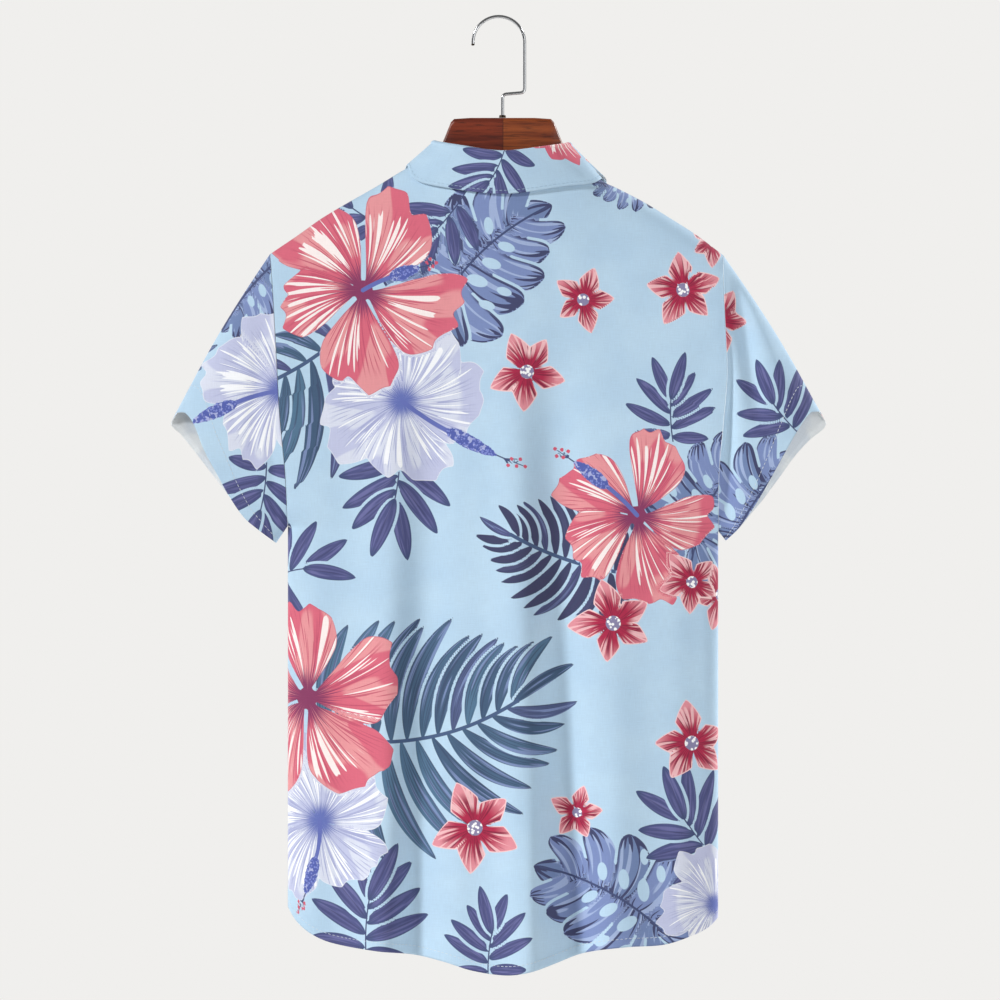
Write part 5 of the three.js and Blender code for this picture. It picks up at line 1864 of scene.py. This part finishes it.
    def _ring(self, finish: bpy.types.Material) -> None:
        """The ring: a profile turned round the stub."""
        bore = self.wire + 0.15
        mesh = turned("ring", np.array([(bore, 0), *RING_PROFILE, (bore, RING_PROFILE[-1][1])]), TURNED_SIDES)
        moved(mesh, lambda x, y, z: (x, y, z + (WOOD_TOP + SEAM_GAP) * MM))
        settle("hook_ring", mesh, [finish], "hanger_ferrule")


def _lengths(path: Array) -> Array:
    """Length along a path up to each of its points."""
    return np.concatenate([[0], np.linalg.norm(np.diff(path, axis=0), axis=1).cumsum()])


def _arc(x: float, z: float, radius: float, start: float, stop: float, steps: int) -> Array:
    """Points of a circle's arc in the plane y = 0, angles in degrees."""
    turn = np.radians(np.linspace(start, stop, steps + 1))
    return np.stack([x + radius * np.cos(turn), 0 * turn, z + radius * np.sin(turn)], axis=-1)


def turned(name: str, profile: Array, sides: int) -> bpy.types.Mesh:
    """A closed profile of radius and height turned round the z axis."""
    cosine, sine = circle(sides)
    radius, height = profile[:, :1], profile[:, 1:]
    points = np.stack(np.broadcast_arrays(radius * cosine, radius * sine, height), axis=-1)
    index = wrapped(ring_index(len(profile), sides), axis=0)
    return mesh_from(name, points.reshape(-1, 3) * MM, [quads_of(index)])


def moved(mesh: bpy.types.Mesh, place: Callable[[Array, Array, Array], tuple[Array, Array, Array]]) -> None:
    """Moves every point of a mesh, in metres."""
    co = np.empty(len(mesh.vertices) * 3)
    mesh.vertices.foreach_get("co", co)
    mesh.vertices.foreach_set("co", np.stack(place(*co.reshape(-1, 3).T), axis=-1).ravel())
    mesh.update()


# Sewing and buttons

def stitches(line: Array, normals: Array, pitch: float, long: float,
             radius: float) -> tuple[Array, Array, Array]:
    """Stitches along a line on the cloth, each a short rod that bulges in the middle.

    Args:
        line: Points of the line.
        normals: Outward normals there.
        pitch: From one stitch to the next.
        long: Length of a stitch.
        radius: Its half thickness.

    Returns:
        Points, quads and triangles.
    """
    length = _lengths(line)
    centre = np.arange(pitch, length[-1] - pitch / 2, pitch)
    rings, sides = np.array([-0.5, -0.3, 0.0, 0.3, 0.5]), 5
    girth = np.array([0.25, 0.85, 1.0, 0.85, 0.25])
    cosine, sine = circle(sides)
    place = centre[:, None] + long * rings[None]
    spot, out, ahead = (np.stack([np.interp(p, length, v[:, k]) for k in range(3)], axis=-1)
                        for p, v in ((place, line), (place, normals), (place + 0.5, line)))
    forward = unit(ahead - spot)
    side = unit(np.cross(forward, out))
    wide = radius * girth[None, :, None, None]
    lift = (radius * 0.55 * girth - 0.12 * (1 - girth))[None, :, None]
    spokes = side[:, :, None] * cosine[:, None] + out[:, :, None] * sine[:, None]
    ring = (spot + out * lift)[:, :, None] + wide * spokes
    shape = (len(centre), len(rings), sides)
    index = wrapped(np.arange(math.prod(shape)).reshape(shape), axis=2)
    quads = np.stack([index[:, :-1, :-1], index[:, 1:, :-1], index[:, 1:, 1:], index[:, :-1, 1:]], -1)
    caps = [np.stack([index[:, row, 0], index[:, row, k], index[:, row, k + 1]], -1)
            for row in (0, len(rings) - 1) for k in range(1, sides - 1)]
    return ring.reshape(-1, 3), quads.reshape(-1, 4), np.concatenate(caps)


BUTTON_HEIGHTS = (-222, -310, -398, -486, -574, -662)
BUTTON_STANDOFF = 0.7
THREAD_RADIUS = 0.3
BUTTON_PROFILE: Table = (
    (0.01, 0), (5.0, 0), (5.5, 0.5), (5.6, 1.2), (5.5, 1.9), (5.1, 2.35), (4.5, 2.4), (3.9, 2.1), (3.4, 1.75),
    (0.01, 1.7),
)
HOLE_PLACES = tuple(np.array([x, z]) for x in (-1.3, 1.3) for z in (-1.3, 1.3))
# Each run of stitches: its name, its piece, and the row or the column of the grid that it follows.
RUNS = (
    ("hem_back", "back", -5, None), ("hem_left", "front_left", -5, None),
    ("hem_right", "front_right", -5, None), ("placket_left", "front_left", None, -3),
    ("placket_right", "front_right", None, 2), ("cuff_left", "sleeve_left", -11, None),
    ("cuff_right", "sleeve_right", -11, None), ("collar", "collar_fall", -3, None),
)


@dataclass
class Sewing:
    """Stitches of the hems, the front edges and the collar, and the buttons with their thread."""

    cloth: dict[str, Cut]
    pitch: float = 4.2
    long: float = 2.9
    radius: float = 0.27

    def build(self) -> None:
        """Builds one piece of thread for each place, and the buttons."""
        white = ThreadFinish("thread_pale", "e3ebf2").build()
        blue = ThreadFinish("thread_blue", "b3cfe3").build()
        for place, source, row, column in RUNS:
            self._run(f"stitches_{place}", source, blue if place == "collar" else white, row, column)
        shell = ShellFinish().build()
        for number, height in enumerate(BUTTON_HEIGHTS, 1):
            self._button(number, height, shell, white)

    def _run(self, name: str, source: str, finish: bpy.types.Material, row: Optional[int],
             column: Optional[int]) -> None:
        """Sews along one row or column of a piece's grid."""
        cut = self.cloth[source]
        pick = (row, slice(None)) if row is not None else (slice(None), column)
        line, normals = cut.points[pick], cut.normals[pick]
        if cut.closed:
            line, normals = wrapped(line, axis=0), wrapped(normals, axis=0)
        points, quads, triangles = stitches(line, normals, self.pitch, self.long, self.radius)
        settle(name, mesh_from(name, points * MM, [quads], triangles), [finish])

    def _button(self, number: int, height: float, shell: bpy.types.Material,
                thread: bpy.types.Material) -> None:
        """A dished button: a turned profile, and crossed threads between its four hole places."""
        cloth = float(BODY.half_depth(np.zeros(1), np.full(1, height), FRONT_FOLDS)[0])
        out = cloth + SEAM_GAP / 2 + LAP_STEP + BUTTON_STANDOFF
        body = turned(f"button_{number}_shell", np.array(BUTTON_PROFILE), TURNED_SIDES)
        way = np.linspace(0, 1, 9)[:, None]
        rise = 1.45 + 0.75 * np.sin(np.pi * way[:, 0]) ** 0.5
        crossed = [HOLE_PLACES[a] + (HOLE_PLACES[b] - HOLE_PLACES[a]) * way for a, b in ((0, 3), (1, 2))]
        strands = [tube(np.column_stack([flat, rise]), THREAD_RADIUS, 8) for flat in crossed]
        points, quads, triangles = join(strands)
        sewn = mesh_from(f"button_{number}_thread", points * MM, [quads], triangles)
        for mesh in (body, sewn):
            moved(mesh, lambda x, y, z: (-x, z + out * MM, y + height * MM))
        settle(body.name, body, [shell], f"button_{number}")
        settle(sewn.name, sewn, [thread])


@dataclass
class Shirt:
    """Cloth pieces, stitches and buttons of the shirt."""

    back_columns: int = 226
    back_rows: int = 361
    front_columns: int = 115
    front_rows: int = 340
    sleeve_around: int = 135
    sleeve_rings: int = 58
    fall_columns: int = 241

    def cloth(self) -> dict[str, Cut]:
        """Grids of the cloth pieces by node name."""
        rows = spread(self.back_rows, 0.15, 0.05)
        columns = 2 * spread(self.back_columns, 0.35, 0.05, both=True) - 1
        front_rows = spread(self.front_rows, 0.15, 0.05)
        half = 1 - spread(self.front_columns, 0.35, 0.1)
        left_end = FRONT_LAP / LEFT.shoulder[-1][0]
        left = left_end - (1 + left_end) * half
        angle = np.linspace(-172, 172, self.fall_columns)
        return {
            "back": panel_grid(BACK, columns, rows),
            "front_left": panel_grid(LAPPED, left, front_rows),
            "front_right": panel_grid(FRONT, -left[::-1], front_rows),
            "sleeve_left": sleeve_grid(LEFT, self.sleeve_around, self.sleeve_rings),
            "sleeve_right": sleeve_grid(RIGHT, self.sleeve_around, self.sleeve_rings),
            "collar_stand": stand_grid(angle[::2], 4),
            "collar_fall": fall_grid(angle, 9, 23),
        }

    def build(self) -> None:
        """Builds each piece of cloth in place of its node."""
        weave = weave_group()
        face, reverse = ClothFinish().face(weave), ClothFinish().reverse(weave)
        cloth = self.cloth()
        for name, cut in cloth.items():
            marks = printed(name, cut.plan)
            mesh = ClothMesh(f"{name}_cloth", cut, marks).build()
            piece = settle(mesh.name, mesh, [face, reverse], name)
            width, length, area = cut.flat_size()
            LOG.info("%s: cut %.3f x %.3f m, %.4f m2", piece.name, width, length, area)
        Sewing(cloth).build()


# Stage

@dataclass(frozen=True)
class Stage:
    """Camera, lights, floor and backdrop of the photograph, in metres."""

    centre: tuple[float, float] = (-0.0023, -0.4478)
    width: float = 0.93
    distance: float = 12
    sensor: float = 36
    floor: float = -1.35
    floor_radius: float = 3.0
    ambient: float = 0.15
    sun_spread: float = 8
    panel_size: float = 1.2
    aim: float = -0.45
    floor_sides: int = 96

    def build(self) -> None:
        """Places the camera straight in front of the shirt's back, and sets the lights."""
        camera = bpy.data.cameras.new("camera")
        camera.sensor_width = self.sensor
        camera.lens = self.sensor * self.distance / self.width
        camera.clip_end = 50
        place = (self.centre[0], -self.distance, self.centre[1])
        bpy.context.scene.camera = self._hold(camera, place, (math.pi / 2, 0, 0))
        self._sun("key", (60, 26), 2.6)
        self._sun("far_key", (-120, 26), 2.8)
        self._panel("fill", (1.0, -1.0, -0.3), 8)
        self._panel("far_fill", (-1.0, 1.0, -0.3), 6.5)
        self._world()
        self._floor()

    @staticmethod
    def _hold(data: bpy.types.ID, place: Sequence[float], turn: Sequence[float]) -> bpy.types.Object:
        """Puts a camera or a lamp in the scene."""
        holder = object_from(data.name, data)
        holder.location, holder.rotation_euler = place, turn
        return holder

    def _sun(self, name: str, towards: tuple[float, float], strength: float) -> None:
        """A broad parallel light: degrees to the left of the camera and above the level."""
        lamp = bpy.data.lights.new(name, "SUN")
        lamp.energy, lamp.angle = strength, math.radians(self.sun_spread)
        self._hold(lamp, (0, 0, 0), (math.radians(90 - towards[1]), 0, -math.radians(towards[0])))

    def _panel(self, name: str, place: tuple[float, float, float], power: float) -> None:
        """A square area light that looks at the middle of the shirt."""
        lamp = bpy.data.lights.new(name, "AREA")
        lamp.energy, lamp.size = power, self.panel_size
        run = np.subtract((0, 0, self.aim), place)
        tilt = math.atan2(math.hypot(run[0], run[1]), -run[2])
        self._hold(lamp, place, (tilt, 0, math.atan2(-run[0], run[1])))

    def _world(self) -> None:
        """A plain pale backdrop for the camera, and a dimmer white light from all round."""
        world = bpy.data.worlds.new("studio")
        world.use_nodes = True
        bpy.context.scene.world = world
        g = Graph(world.node_tree)
        light = world.node_tree.nodes["Background"]
        g.feed(light.inputs["Color"], (1.0, 0.995, 0.985))
        g.feed(light.inputs["Strength"], self.ambient)
        paper = g.put("ShaderNodeBackground", {"Color": "f0efed", "Strength": 1.0})
        seen = g.put("ShaderNodeMixShader")
        g.feed(seen.inputs[0], g.put("ShaderNodeLightPath").outputs["Is Camera Ray"])
        g.feed(seen.inputs[1], light.outputs[0])
        g.feed(seen.inputs[2], paper.outputs[0])
        g.feed(world.node_tree.nodes["World Output"].inputs["Surface"], seen.outputs[0])

    def _floor(self) -> None:
        """A plain pale round floor, small enough to stay below the photograph's frame."""
        rim = self.floor_radius * np.column_stack(circle(self.floor_sides))
        mesh = bpy.data.meshes.new("floor")
        mesh.from_pydata([(x, y, self.floor) for x, y in rim.tolist()], [], [list(range(len(rim)))])
        floor = object_from("floor", mesh)
        paper, g, shader = new_material("floor_paper", Roughness=0.95)
        tooth = g.noise(g.place(), 900.0, 2.0)
        g.feed(shader.inputs["Base Color"], g.mix(tooth, "e9e8e6", "eeedeb"))
        floor.data.materials.append(paper)


def main() -> None:
    """Builds the pieces in order."""
    logging.basicConfig(level=logging.INFO, format="%(message)s")
    Shirt().build()
    Hanger().build()
    Stage().build()
    bpy.context.scene.view_settings.view_transform = "Standard"


if __name__ == "__main__":
    main()
